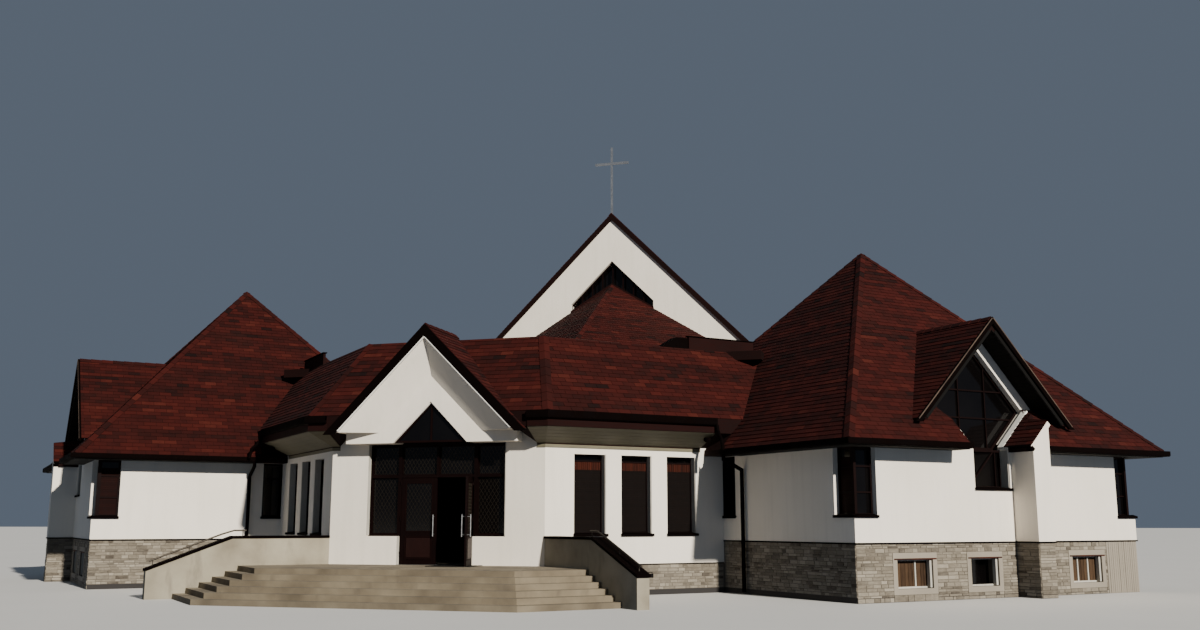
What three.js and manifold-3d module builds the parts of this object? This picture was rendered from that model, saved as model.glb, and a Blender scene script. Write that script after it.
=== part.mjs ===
// Modern church building: two square pavilions set at 45 degrees flank an entrance block
// with a splayed gable, and a taller gabled nave with a cross stands behind them.
// Millimetres, +Z up. The entrance faces -Y and the plane X = 0 is the plane of symmetry.
// The origin is the middle of the footprint box, at the lowest ground level.

import * as THREE from 'three';
import { ConvexGeometry } from 'three/addons/geometries/ConvexGeometry.js';
import { mergeVertices } from 'three/addons/utils/BufferGeometryUtils.js';
import Module from 'manifold-3d';

const wasm = await Module();
wasm.setup();

// Driving dimensions. Y is measured from the face of the entrance wall until the last lines.
const GAP = 0.3;
const CUT = 1;
const FAR = 40000;
const UNDERCUT = 200;
const WALL = 350;
const FLOOR = 750;
const FLOOR_THICKNESS = 200;

// Entrance wall, its opening and its gable
const ENTRANCE_HALF = 2890;
const OPENING_HALF = 1870;
const OPENING_SILL = 1450;
const OPENING_HEAD = 3745;
const PEAK_HALF = 990;
const PEAK_TOP = 4765;
const DOORWAY_HALF = 1020;
const GABLE_FACE_Y = -420;
const GABLE_HALF = 2300;
const GABLE_TOP = 6400;
const VERGE_FRONT_Y = -920;
const VERGE_BOARD = 60;
const VERGE_DEPTH = 290;
const VERGE_DROP = 60;
const SPLAY_INSET = 1000;
const SPLAY_FOOT = 4010;
const SPLAY_RIM = 40;
const GABLE_FACE_DROP = 400;
const HOOD_LAP = 100;
const PIER_SHOULDER = 4000;

// Entrance joinery
const FRAME_FRONT_Y = 120;
const FRAME_DEPTH = 80;
const FRAME_BAR = 60;
const PEAK_BAR = 140;
const TRANSOM_BOTTOM = 2900;
const TRANSOM_BAR = 70;
const DOOR_JAMB = 985;
const GLASS = 12;
const GLASS_EDGE = 20;
const GLASS_LAP = 60;
const LEAF_GAP = 10;
const LEAF_THICKNESS = 50;
const LEAF_FRONT_Y = 125;
const LEAF_CLEARANCE = 8;
const LEAF_STILE = 110;
const LEAF_PANEL_TOP = 1560;
const OPEN_TURN = 105;
const HINGE_Y = 105;
const HINGE_RADIUS = 8;
const HINGE_HEIGHT = 60;
const HINGE_PLATE = 4;
const HINGE_REACH = 20;
const HINGE_LEVELS = [950, 1825, 2700];
const PULL_LOW = 1450;
const PULL_HIGH = 1980;
const PULL_RADIUS = 13;
const PULL_STAND = 80;
const PULL_BOLT = 7;
const PULL_END = 50;

// Front steps: three-sided flights between two splayed parapets
const RISERS = 6;
const RISER = FLOOR / RISERS;
const TREAD = 297;
const TOP_FRONT_Y = -2875;
const TOP_FLANK = 1590;
const PARAPET = 300;
const PARAPET_LENGTH = 4363;
const PARAPET_LEVEL = 2404;
const PARAPET_TOP = 1405;
const PARAPET_END_TOP = 664;
const COPING = 60;
const COPING_LIP = 25;
const RAIL_RADIUS = 21;
const RAIL_RISE = 130;
const RAIL_LEVEL = 350;
const RAIL_END = 80;
const POST_RADIUS = 12;

// Entrance block roof: a steep band on three sides around a level deck
const BAND_OVERHANG = 740;
const BAND_EAVE = 4440;
const BAND_TOP = 6515;
const BAND_RUN = 1741;
const DECK_START_Y = 5000;
const ROOF_DEPTH = 250;
const SOFFIT_WALL = 3710;
const SOFFIT_EDGE = 4060;
const GABLE_RIDGE = 6650;
const RIDGE_END_Y = 1080;
const FRONT_SILL = 1500;
const FRONT_HEAD = 3460;
const FRONT_WINDOWS = [[2842, 3740], [4186, 5072], [5537, 6420]];

// Pavilions, in the grid that is turned by 45 degrees: U to the right and back, V to the left and back
const WING_U = 7280;
const WING_V = -7180;
const WING_SIDE = 9600;
const WING_BASE = 1320;
const BASE_SETBACK = 20;
const WING_SILL = 1945;
const WING_HEAD = 3500;
const CORNER_WINDOW = 680;
const WING_OVERHANG = 580;
const WING_EAVE = 3640;
const WING_APEX = 9500;
const NARROW_WINDOW = [-2600, -1830];
const WAY_START_V = -1500;
const WAY_END_U = 12000;
const DORMER_U = 11700;
const DORMER_RIDGE = 6800;
const DORMER_HALF = 2600;
const DORMER_DEPTH = 300;
const DORMER_FRONT = 250;
const DORMER_SETBACK = 330;
const DORMER_VERGE = 180;
const ARROW_SILL = 2610;
const ARROW_NECK = 3610;
const ARROW_NECK_HALF = 600;
const ARROW_WIDE = 4560;
const ARROW_WIDE_HALF = 1550;
const EAVE_NOTCH = 1300;
const FIN_START = 12380;
const FIN_END = 12960;
const FIN_REACH = 700;
const FIN_LOW = 3500;
const BASEMENT_WINDOWS = [[8500, 9600], [10830, 11750], [14360, 15460]];
const BASEMENT_LOW = 290;
const BASEMENT_HIGH = 950;
const BASEMENT_BOARD = 30;
const GUTTER = 120;
const GUTTER_DEPTH = 140;
const GUTTER_END = 20;
const BAND_GUTTER_DEPTH = 190;
const EAVE_LAP = 6;
const PIPE_RADIUS = 50;
const PIPE_V = -3010;
const PIPE_STAND = 30;
const PIPE_LAP = 10;
const PIPE_KNEE_HIGH = 3380;
const PIPE_KNEE_LOW = 3120;
const PIPE_FOOT = 60;

// Hall between the pavilions, nave and cross
const HALL_HALF = 7500;
const NAVE_Y = 16430;
const NAVE_LENGTH = 12220;
const NAVE_HALF = 9000;
const NAVE_RIDGE = 13960;
const NAVE_OVERHANG = 600;
const NAVE_VERGE = 80;
const NAVE_ROOF_DEPTH = 250;
const NAVE_WINDOW_STARTS = [1400, 4200, 7000, 9800];
const NAVE_WINDOW_WIDTH = 900;
const HALL_ARCH_HALF = 6000;
const HALL_ARCH_TOP = 6000;
const CENTRE_APEX = 11050;
const CENTRE_SLOPE = 0.606;
const CHEVRON_TOP = 12035;
const CHEVRON_HALF = 1683;
const CHEVRON_CLEAR = 20;
const CROSS_TOP = 16745;
const CROSS_ARM_Z = 16070;
const CROSS_SPAN = 1390;
const CROSS_BAR = 80;
const CROSS_SETBACK = 120;

// Finishes
const finish = (color, roughness, metalness = 0) =>
  new THREE.MeshStandardMaterial({ color, roughness, metalness });
const RENDER = finish(0xe6dfd2, 0.85);
const STONE = finish(0x8d8579, 0.9);
const CONCRETE = finish(0x9c9284, 0.9);
const TILES = finish(0x6a231a, 0.8);
const DARK_METAL = finish(0x1d1513, 0.4, 0.3);
const DARK_WOOD = finish(0x2a120e, 0.5);
const GLAZING = finish(0x0c0f11, 0.08);
const STEEL = finish(0xb9babb, 0.3, 0.9);

// Solids and the ways to place them
const solidOf = (geometry) => {
  const bare = geometry.clone();
  bare.deleteAttribute('normal');
  bare.deleteAttribute('uv');
  const merged = mergeVertices(bare, 1e-3);
  const vertProperties = new Float32Array(merged.attributes.position.array);
  const triVerts = new Uint32Array(merged.index.array);
  return new wasm.Manifold(new wasm.Mesh({ numProp: 3, vertProperties, triVerts }));
};

const geometryOf = (solid) => {
  const mesh = solid.getMesh();
  const geometry = new THREE.BufferGeometry();
  geometry.setAttribute('position', new THREE.BufferAttribute(mesh.vertProperties, 3));
  geometry.setIndex(new THREE.BufferAttribute(mesh.triVerts, 1));
  geometry.computeVertexNormals();
  return geometry;
};

const box = (x0, x1, y0, y1, z0, z1) => {
  const geometry = new THREE.BoxGeometry(1, 1, 1);
  const corner = geometry.attributes.position;
  for (let i = 0; i < corner.count; i += 1) {
    const [x, y, z] = [corner.getX(i) < 0 ? x0 : x1, corner.getY(i) < 0 ? y0 : y1, corner.getZ(i) < 0 ? z0 : z1];
    corner.setXYZ(i, x, y, z);
  }
  return solidOf(geometry);
};

const extruded = (outline, depth) => {
  const shape = new THREE.Shape(outline.map(([a, b]) => new THREE.Vector2(a, b)));
  return new THREE.ExtrudeGeometry(shape, { depth, bevelEnabled: false });
};

const plate = (outline, z0, z1) => solidOf(extruded(outline, z1 - z0).translate(0, 0, z0));

const slab = (outline, y0, y1) => solidOf(extruded(outline, y1 - y0).rotateX(Math.PI / 2).translate(0, y1, 0));

const panel = (outline, x0, x1) => {
  const basis = new THREE.Matrix4().makeBasis(
    new THREE.Vector3(0, 1, 0), new THREE.Vector3(0, 0, 1), new THREE.Vector3(1, 0, 0));
  return solidOf(extruded(outline, x1 - x0).applyMatrix4(basis).translate(x0, 0, 0));
};

const hull = (points) => solidOf(new ConvexGeometry(points.map((p) => new THREE.Vector3(...p))));

const rod = (x, y, z0, z1, radius, sides = 16) => {
  const geometry = new THREE.CylinderGeometry(radius, radius, z1 - z0, sides);
  return solidOf(geometry.rotateX(Math.PI / 2).translate(x, y, (z0 + z1) / 2));
};

const crossRod = (x, y0, y1, z, radius, sides = 12) => {
  const geometry = new THREE.CylinderGeometry(radius, radius, y1 - y0, sides);
  return solidOf(geometry.translate(x, (y0 + y1) / 2, z));
};

const swept = (points, radius, sides = 12) => {
  const path = new THREE.CurvePath();
  for (let i = 1; i < points.length; i += 1) {
    path.add(new THREE.LineCurve3(points[i - 1], points[i]));
  }
  const round = new THREE.Shape();
  round.absarc(0, 0, radius, 0, Math.PI * 2);
  const options = { steps: (points.length - 1) * 4, curveSegments: sides / 2, extrudePath: path };
  return solidOf(new THREE.ExtrudeGeometry(round, { ...options, bevelEnabled: false }));
};

const union = (solids) => solids.reduce((sum, next) => sum.add(next));
const difference = (first, cuts) => cuts.reduce((rest, next) => rest.subtract(next), first);
const moved = (solid, change) => {
  const geometry = geometryOf(solid);
  change(geometry);
  return solidOf(geometry);
};
const shifted = (solid, x, y, z) => moved(solid, (geometry) => geometry.translate(x, y, z));
const turned = (solid) => moved(solid, (geometry) => geometry.rotateZ(Math.PI / 4));
const mirrored = (solid) => moved(solid, (geometry) => {
  geometry.scale(-1, 1, 1);
  geometry.index.array.reverse();
});
const gridToPlan = (u, v) => [(u - v) * Math.SQRT1_2, (u + v) * Math.SQRT1_2];

const building = new THREE.Group();

const piece = (name, solid, material) => {
  const mesh = new THREE.Mesh(geometryOf(solid), material);
  mesh.name = name;
  building.add(mesh);
};

const pair = (name, solid, material) => {
  piece(`${name}_right`, solid, material);
  piece(`${name}_left`, mirrored(solid), material);
};

// Derived sizes
const FRONT_V = -ENTRANCE_HALF * Math.SQRT1_2;
const WING_U_END = WING_U + WING_SIDE;
const WING_V_END = WING_V + WING_SIDE;
const WING_CENTRE = [WING_U + WING_SIDE / 2, WING_V + WING_SIDE / 2];
const WING_EDGE = WING_SIDE / 2 + WING_OVERHANG;
const WING_PITCH = (WING_APEX - WING_EAVE) / WING_EDGE;
const WING_WALL_TOP = WING_EAVE - ROOF_DEPTH + WING_OVERHANG * WING_PITCH - GAP;
const BAND_PITCH = (BAND_TOP - BAND_EAVE) / BAND_RUN;
const BAND_WALL_TOP = BAND_EAVE - ROOF_DEPTH + BAND_OVERHANG * BAND_PITCH - GAP;
const NAVE_WALL_TOP = NAVE_RIDGE - NAVE_ROOF_DEPTH - NAVE_HALF - GAP;
const NAVE_BACK_Y = NAVE_Y + NAVE_LENGTH;

// Steps, parapets, copings and handrails
const stepOutline = (index) => {
  const front = TOP_FRONT_Y - TREAD * index;
  const flank = TOP_FLANK + TREAD * index * Math.SQRT1_2;
  const side = ENTRANCE_HALF + flank - GAP;
  const corner = side + front + flank;
  return [[-ENTRANCE_HALF, -GAP], [-side, -flank], [-corner, front], [corner, front], [side, -flank],
    [ENTRANCE_HALF, -GAP]];
};

const steps = Array.from({ length: RISERS }, (_, index) =>
  plate(stepOutline(index), FLOOR - RISER * (index + 1), FLOOR - RISER * index));
piece('entrance_stairs', union(steps), CONCRETE);

// A parapet runs along -V from the corner of the entrance wall, in the turned grid
const parapetU = ENTRANCE_HALF * Math.SQRT1_2;
const parapetStart = FRONT_V - GAP;
const parapetEnd = FRONT_V - PARAPET_LENGTH;
const parapetBend = FRONT_V - PARAPET_LEVEL;
const parapetFall = (PARAPET_TOP - PARAPET_END_TOP) / (PARAPET_LENGTH - PARAPET_LEVEL);
const parapetOutline = [[parapetStart, 0], [parapetEnd, 0], [parapetEnd, PARAPET_END_TOP],
  [parapetBend, PARAPET_TOP], [parapetStart, PARAPET_TOP]];
pair('parapet', turned(panel(parapetOutline, parapetU, parapetU + PARAPET)), CONCRETE);

const copingNose = PARAPET_END_TOP - COPING_LIP * parapetFall;
const copingBend = parapetBend - COPING * Math.tan(Math.atan(parapetFall) / 2);
const copingOutline = [[parapetStart, PARAPET_TOP], [parapetBend, PARAPET_TOP],
  [parapetEnd - COPING_LIP, copingNose], [parapetEnd - COPING_LIP, copingNose + COPING],
  [copingBend, PARAPET_TOP + COPING], [parapetStart, PARAPET_TOP + COPING]];
const coping = panel(copingOutline, parapetU - COPING_LIP, parapetU + PARAPET + COPING_LIP);
pair('parapet_coping', turned(shifted(coping, 0, 0, GAP)), DARK_METAL);

const railU = parapetU + PARAPET / 2;
const railAt = (v) => PARAPET_TOP + COPING - Math.max(0, parapetBend - v) * parapetFall;
const railPath = [parapetBend + RAIL_LEVEL, parapetBend, parapetEnd + RAIL_END].map((v) =>
  new THREE.Vector3(railU, v, railAt(v) + RAIL_RISE));
const postPlaces = [parapetBend + RAIL_LEVEL - RAIL_END, (parapetBend + parapetEnd) / 2, parapetEnd + 2 * RAIL_END];
const railPosts = postPlaces.map((v) =>
  rod(railU, v, railAt(v) - COPING / 2, railAt(v) + RAIL_RISE, POST_RADIUS).subtract(shifted(coping, 0, 0, 2 * GAP)));
pair('handrail', turned(union([swept(railPath, RAIL_RADIUS), ...railPosts])), STEEL);

// Entrance wall beside the doorway, and the deep gable block over it
const sideWallEnd = turned(box(-FRONT_V - GAP, WING_U, FRONT_V - CUT, FRONT_V + WALL + GAP, 0, BAND_TOP));
const pier = slab([[DOORWAY_HALF, FLOOR], [ENTRANCE_HALF, FLOOR], [ENTRANCE_HALF, PIER_SHOULDER],
  [GABLE_HALF + GAP, PIER_SHOULDER], [GABLE_HALF + GAP, OPENING_HEAD], [OPENING_HALF, OPENING_HEAD],
  [OPENING_HALF, OPENING_SILL], [DOORWAY_HALF, OPENING_SILL]], 0, WALL);
pair('entrance_wall', pier.subtract(sideWallEnd), RENDER);

const peakCut = [[-PEAK_HALF - CUT, OPENING_HEAD - CUT], [PEAK_HALF + CUT, OPENING_HEAD - CUT],
  [PEAK_HALF, OPENING_HEAD], [0, PEAK_TOP], [-PEAK_HALF, OPENING_HEAD]];
const houseOutline = [[-GABLE_HALF, OPENING_HEAD], [GABLE_HALF, OPENING_HEAD],
  [GABLE_HALF, GABLE_TOP - GABLE_HALF - GAP], [0, GABLE_TOP - GAP], [-GABLE_HALF, GABLE_TOP - GABLE_HALF - GAP]];
const hoodFrontY = VERGE_FRONT_Y + VERGE_BOARD;
const hoodHalf = GABLE_TOP - SPLAY_FOOT - GAP;
const hood = slab([[-hoodHalf, SPLAY_FOOT], [hoodHalf, SPLAY_FOOT], [0, GABLE_TOP - GAP]],
  hoodFrontY, GABLE_FACE_Y + HOOD_LAP);
const splayDepth = GABLE_FACE_Y - hoodFrontY;
const splayAt = (y, inset) => {
  const low = SPLAY_FOOT - GABLE_FACE_DROP;
  const half = GABLE_TOP - inset - low;
  return [[-half, y, low], [half, y, low], [0, y, GABLE_TOP - inset]];
};
const splayRate = (SPLAY_INSET - SPLAY_RIM) / splayDepth;
const splayLead = SPLAY_RIM / 2;
const splay = hull([...splayAt(hoodFrontY - splayLead, SPLAY_RIM - splayLead * splayRate),
  ...splayAt(GABLE_FACE_Y, SPLAY_INSET)]);
const gableBlock = union([slab(houseOutline, GABLE_FACE_Y, WALL), hood]);
piece('entrance_gable', difference(gableBlock, [splay, slab(peakCut, GABLE_FACE_Y - CUT, WALL + CUT)]), RENDER);

const ridgeOutline = (apex, depth, foot) => [[-(apex - depth - foot), foot], [-(apex - foot), foot],
  [0, apex], [apex - foot, foot], [apex - depth - foot, foot], [0, apex - depth]];
const vergeOutline = ridgeOutline(GABLE_RIDGE, VERGE_DEPTH, SPLAY_FOOT - VERGE_DROP);
piece('entrance_verge', slab(vergeOutline, VERGE_FRONT_Y, hoodFrontY - GAP), DARK_METAL);

// Entrance joinery: one frame with its mullions, a sheet of glass behind it and two door leaves
const openingOutline = [[-OPENING_HALF, OPENING_SILL], [-DOORWAY_HALF, OPENING_SILL], [-DOORWAY_HALF, FLOOR],
  [DOORWAY_HALF, FLOOR], [DOORWAY_HALF, OPENING_SILL], [OPENING_HALF, OPENING_SILL],
  [OPENING_HALF, OPENING_HEAD], [PEAK_HALF, OPENING_HEAD], [0, PEAK_TOP], [-PEAK_HALF, OPENING_HEAD],
  [-OPENING_HALF, OPENING_HEAD]];
const frameBack = FRAME_FRONT_Y + FRAME_DEPTH;
const through = (x0, x1, z0, z1) => box(x0, x1, FRAME_FRONT_Y - CUT, frameBack + CUT, z0, z1);
const lightsOnOneSide = [
  through(DOORWAY_HALF + FRAME_BAR, OPENING_HALF - FRAME_BAR, OPENING_SILL + FRAME_BAR, TRANSOM_BOTTOM),
  through(DOORWAY_HALF + FRAME_BAR, OPENING_HALF - FRAME_BAR, TRANSOM_BOTTOM + TRANSOM_BAR,
    OPENING_HEAD - FRAME_BAR),
  through(FRAME_BAR / 2, DOOR_JAMB, TRANSOM_BOTTOM + TRANSOM_BAR, OPENING_HEAD - FRAME_BAR),
  slab([[FRAME_BAR / 2, OPENING_HEAD + FRAME_BAR / 2], [PEAK_HALF - PEAK_BAR, OPENING_HEAD + FRAME_BAR / 2],
    [FRAME_BAR / 2, PEAK_TOP - PEAK_BAR]], FRAME_FRONT_Y - CUT, frameBack + CUT),
];
const knuckle = (z, x0, x1, backY) => union([rod(DOOR_JAMB, HINGE_Y, z, z + HINGE_HEIGHT, HINGE_RADIUS),
  box(x0, x1, HINGE_Y - HINGE_PLATE, backY + HINGE_PLATE, z, z + HINGE_HEIGHT)]);
const frameKnuckles = HINGE_LEVELS.map((z) =>
  knuckle(z + HINGE_HEIGHT + GAP, DOOR_JAMB, DOOR_JAMB + HINGE_REACH, FRAME_FRONT_Y));
const frameBody = difference(slab(openingOutline, FRAME_FRONT_Y, frameBack), [
  through(-DOOR_JAMB, DOOR_JAMB, FLOOR - CUT, TRANSOM_BOTTOM),
  ...lightsOnOneSide, ...lightsOnOneSide.map(mirrored)]);
piece('entrance_frame', union([frameBody, ...frameKnuckles, ...frameKnuckles.map(mirrored)]), DARK_WOOD);

const paneHead = OPENING_HEAD - GAP;
const paneFoot = TRANSOM_BOTTOM + TRANSOM_BAR / 2;
const paneOutline = [[-OPENING_HALF + GLASS_EDGE, OPENING_SILL + GLASS_EDGE],
  [-DOORWAY_HALF, OPENING_SILL + GLASS_EDGE], [-DOORWAY_HALF, paneFoot],
  [DOORWAY_HALF, paneFoot], [DOORWAY_HALF, OPENING_SILL + GLASS_EDGE],
  [OPENING_HALF - GLASS_EDGE, OPENING_SILL + GLASS_EDGE], [OPENING_HALF - GLASS_EDGE, paneHead],
  [PEAK_HALF - GLASS_EDGE, paneHead], [0, PEAK_TOP - GLASS_EDGE], [-PEAK_HALF + GLASS_EDGE, paneHead],
  [-OPENING_HALF + GLASS_EDGE, paneHead]];
piece('entrance_glass', slab(paneOutline, frameBack + GAP, frameBack + GAP + GLASS), GLAZING);

const leafX0 = LEAF_GAP;
const leafX1 = DOOR_JAMB - LEAF_GAP;
const leafZ0 = FLOOR + LEAF_CLEARANCE;
const leafZ1 = TRANSOM_BOTTOM - LEAF_GAP;
const leafBackY = LEAF_FRONT_Y + LEAF_THICKNESS;
const pullX = leafX0 + LEAF_STILE / 2;
const boltLevels = [PULL_LOW + PULL_END, PULL_HIGH - PULL_END];
const paneSink = (LEAF_THICKNESS - GLASS) / 2;
const leafPane = (y0, y1) =>
  box(leafX0 + LEAF_STILE, leafX1 - LEAF_STILE, y0, y1, LEAF_PANEL_TOP, leafZ1 - LEAF_STILE);
const leafKnuckle = (z) => knuckle(z, leafX1 - HINGE_REACH, DOOR_JAMB, LEAF_FRONT_Y);
const leaf = difference(
  union([box(leafX0, leafX1, LEAF_FRONT_Y, leafBackY, leafZ0, leafZ1), ...HINGE_LEVELS.map(leafKnuckle)]), [
    leafPane(LEAF_FRONT_Y - CUT, LEAF_FRONT_Y + paneSink), leafPane(leafBackY - paneSink, leafBackY + CUT),
    ...boltLevels.map((z) => crossRod(pullX, LEAF_FRONT_Y - CUT, leafBackY + CUT, z, PULL_BOLT + GAP))]);
const pullBar = (y) => rod(pullX, y, PULL_LOW, PULL_HIGH, PULL_RADIUS);
const pull = union([pullBar(LEAF_FRONT_Y - PULL_STAND), pullBar(leafBackY + PULL_STAND),
  ...boltLevels.map((z) =>
    crossRod(pullX, LEAF_FRONT_Y - PULL_STAND, leafBackY + PULL_STAND, z, PULL_BOLT))]);

// The right leaf stands open, turned out by 105 degrees, and the left one is shut
const opened = (solid) => moved(solid, (geometry) =>
  geometry.translate(-DOOR_JAMB, -HINGE_Y, 0).rotateZ(OPEN_TURN * Math.PI / 180).translate(DOOR_JAMB, HINGE_Y, 0));
piece('door_right', opened(leaf), DARK_WOOD);
piece('door_pull_right', opened(pull), STEEL);
piece('door_left', mirrored(leaf), DARK_WOOD);
piece('door_pull_left', mirrored(pull), STEEL);

// Entrance block: base with the hall floor, side walls with three windows each, glass behind them
const innerV = FRONT_V + WALL;
const hallSide = [gridToPlan(WING_U - GAP, innerV), gridToPlan(WING_U - GAP, WING_V_END + GAP),
  [HALL_HALF - WALL, HALL_HALF - WALL + (WING_V_END + GAP) * Math.SQRT2],
  [HALL_HALF - WALL, NAVE_Y - GAP], [HALL_ARCH_HALF - GAP, NAVE_Y - GAP],
  [HALL_ARCH_HALF - GAP, NAVE_Y + WALL + GAP], [NAVE_HALF - WALL - GAP, NAVE_Y + WALL + GAP],
  [NAVE_HALF - WALL - GAP, NAVE_BACK_Y - WALL - GAP]];
const bothSides = (side) => [...side, ...side.map(([x, y]) => [-x, y]).reverse()];
const baseOutline = bothSides([[ENTRANCE_HALF, 0], gridToPlan(WING_U - GAP, FRONT_V), ...hallSide]);
const hollowStart = gridToPlan(WING_U + WALL, innerV);
const hollowOutline = bothSides([[WALL - innerV * Math.SQRT2, WALL], hollowStart,
  [NAVE_BACK_Y, hollowStart[1]], [NAVE_BACK_Y, NAVE_BACK_Y]]);
const frontBase = plate(baseOutline, 0, FLOOR).subtract(plate(hollowOutline, -CUT, FLOOR - FLOOR_THICKNESS));
piece('front_base', frontBase, STONE);

const windowCut = ([u0, u1]) => box(u0, u1, FRONT_V - CUT, innerV + CUT, FRONT_SILL, FRONT_HEAD);
const frontWall = difference(
  box(-FRONT_V, WING_U - GAP, FRONT_V, innerV, FLOOR, BAND_WALL_TOP), FRONT_WINDOWS.map(windowCut));
pair('front_wall', turned(frontWall), RENDER);
const lastWindow = FRONT_WINDOWS[FRONT_WINDOWS.length - 1];
const frontGlass = box(FRONT_WINDOWS[0][0] - GLASS_LAP, lastWindow[1] + GLASS_LAP,
  innerV + GAP, innerV + GAP + GLASS, FRONT_SILL - GLASS_LAP, FRONT_HEAD + GLASS_LAP);
pair('front_glass', turned(frontGlass), GLAZING);

// Roof of the entrance block: steep band, deck, sloping boxed soffit and the roof of the gable
const bandOutline = (distance, z) => {
  const sideV = FRONT_V - distance;
  const corner = [-distance - sideV * Math.SQRT2, -distance];
  return bothSides([corner, gridToPlan(WING_CENTRE[0], sideV)]).map(([x, y]) => [x, y, z]);
};
const bandHull = (drop) => {
  const outlineAt = (z) => bandOutline(BAND_OVERHANG - (z + drop - BAND_EAVE) / BAND_PITCH, z);
  return hull([...outlineAt(BAND_EAVE - drop - UNDERCUT), ...outlineAt(BAND_TOP - drop)]);
};
const bandEnvelope = bandHull(0).subtract(box(-FAR, FAR, -FAR, FAR, -FAR, BAND_EAVE));
const bandShell = bandEnvelope.subtract(bandHull(ROOF_DEPTH));
const pyramid = (drop) => {
  const [cu, cv] = WING_CENTRE;
  const bottom = WING_EAVE - drop - UNDERCUT;
  const reach = WING_EDGE + UNDERCUT / WING_PITCH;
  const signs = [[-1, -1], [1, -1], [1, 1], [-1, 1]];
  return hull([...signs.map(([a, b]) => [cu + a * reach, cv + b * reach, bottom]), [cu, cv, WING_APEX - drop]]);
};
const aboveWingEave = box(-FAR, FAR, -FAR, FAR, WING_EAVE, FAR);
const wingEnvelope = turned(pyramid(-2 * GAP).intersect(aboveWingEave));
const wingHollow = turned(pyramid(ROOF_DEPTH));

const deckColumn = box(-HALL_HALF - GAP, HALL_HALF + GAP, DECK_START_Y, NAVE_Y, 0, BAND_TOP + GAP);
const underNaveRoof = (x) => NAVE_RIDGE - NAVE_ROOF_DEPTH - x - 2 * GAP;
const ceilingReach = HALL_HALF * 2;
const aboveNaveCeiling = slab([[-ceilingReach, underNaveRoof(ceilingReach)], [0, underNaveRoof(0)],
  [ceilingReach, underNaveRoof(ceilingReach)], [ceilingReach, FAR], [-ceilingReach, FAR]],
  NAVE_Y - NAVE_VERGE - GAP, NAVE_Y);
const deck = box(-HALL_HALF, HALL_HALF, DECK_START_Y, NAVE_Y - GAP, BAND_TOP - ROOF_DEPTH, BAND_TOP)
  .subtract(aboveNaveCeiling);

const soffitReach = BAND_OVERHANG - EAVE_LAP;
const soffits = hull([...bandOutline(GAP, SOFFIT_WALL), ...bandOutline(soffitReach, SOFFIT_EDGE),
  ...bandOutline(soffitReach, BAND_EAVE + EAVE_LAP / 2)])
  .subtract(hull([...bandOutline(GAP, 0), ...bandOutline(GAP, BAND_TOP)]));

const gableRoofOutline = ridgeOutline(GABLE_RIDGE, GABLE_RIDGE - GABLE_TOP, SPLAY_FOOT);
const gableRoof = union([slab(gableRoofOutline, hoodFrontY, WALL + GAP),
  slab(gableRoofOutline, WALL + GAP, RIDGE_END_Y).subtract(bandHull(ROOF_DEPTH))]);
const underGable = slab([[-GABLE_TOP, 0], [GABLE_TOP, 0], [0, GABLE_TOP]],
  hoodFrontY - CUT, WALL + GAP);
const wingMass = turned(box(WING_U - GAP, FAR, -FAR, FAR, -FAR, WING_EAVE + CUT));
const bandAndSoffits = difference(union([bandShell, soffits]),
  [wingEnvelope, mirrored(wingEnvelope), wingMass, mirrored(wingMass)]);
const frontRoof = difference(
  union([bandAndSoffits, difference(deck, [wingHollow, mirrored(wingHollow)]), gableRoof]),
  [underGable]);
piece('front_roof', frontRoof, TILES);

// Gutters of the entrance block, on the fascia of the two sides and the front returns
const gutterPoint = (reach) => [-reach - (FRONT_V - reach) * Math.SQRT2, -reach];
const gutterStart = GABLE_RIDGE - SPLAY_FOOT + 2 * GUTTER_END;
const gutterEnd = WING_U - WING_OVERHANG - GUTTER - GUTTER_END;
const gutterNear = BAND_OVERHANG + GAP;
const gutterFar = BAND_OVERHANG + GUTTER;
pair('front_gutter', plate([[gutterStart, -gutterFar], gutterPoint(gutterFar),
  gridToPlan(gutterEnd, FRONT_V - gutterFar), gridToPlan(gutterEnd, FRONT_V - gutterNear),
  gutterPoint(gutterNear), [gutterStart, -gutterNear]], BAND_EAVE - BAND_GUTTER_DEPTH, BAND_EAVE), DARK_METAL);

// Pavilions
const arrowOutline = [[-ARROW_NECK_HALF, ARROW_SILL], [ARROW_NECK_HALF, ARROW_SILL],
  [ARROW_NECK_HALF, ARROW_NECK], [ARROW_WIDE_HALF, ARROW_WIDE], [0, ARROW_WIDE + ARROW_WIDE_HALF],
  [-ARROW_WIDE_HALF, ARROW_WIDE], [-ARROW_NECK_HALF, ARROW_NECK]].map(([u, z]) => [u + DORMER_U, z]);
const gableV = WING_V + DORMER_SETBACK;
const arrowCut = slab(arrowOutline, WING_V - WING_OVERHANG - CUT, gableV + WALL + CUT);
const eaveNotch = box(DORMER_U - EAVE_NOTCH, DORMER_U, WING_V - WING_OVERHANG - CUT, WING_V - GAP,
  WING_HEAD - CUT, ARROW_WIDE);

const ringAround = (outset, thickness, z0, z1) => {
  const whole = box(WING_U - outset, WING_U_END + outset, WING_V - outset, WING_V_END + outset, z0, z1);
  const inner = thickness - outset;
  return whole.subtract(box(WING_U + inner, WING_U_END - inner, WING_V + inner, WING_V_END - inner,
    z0 - CUT, z1 + CUT));
};

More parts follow.
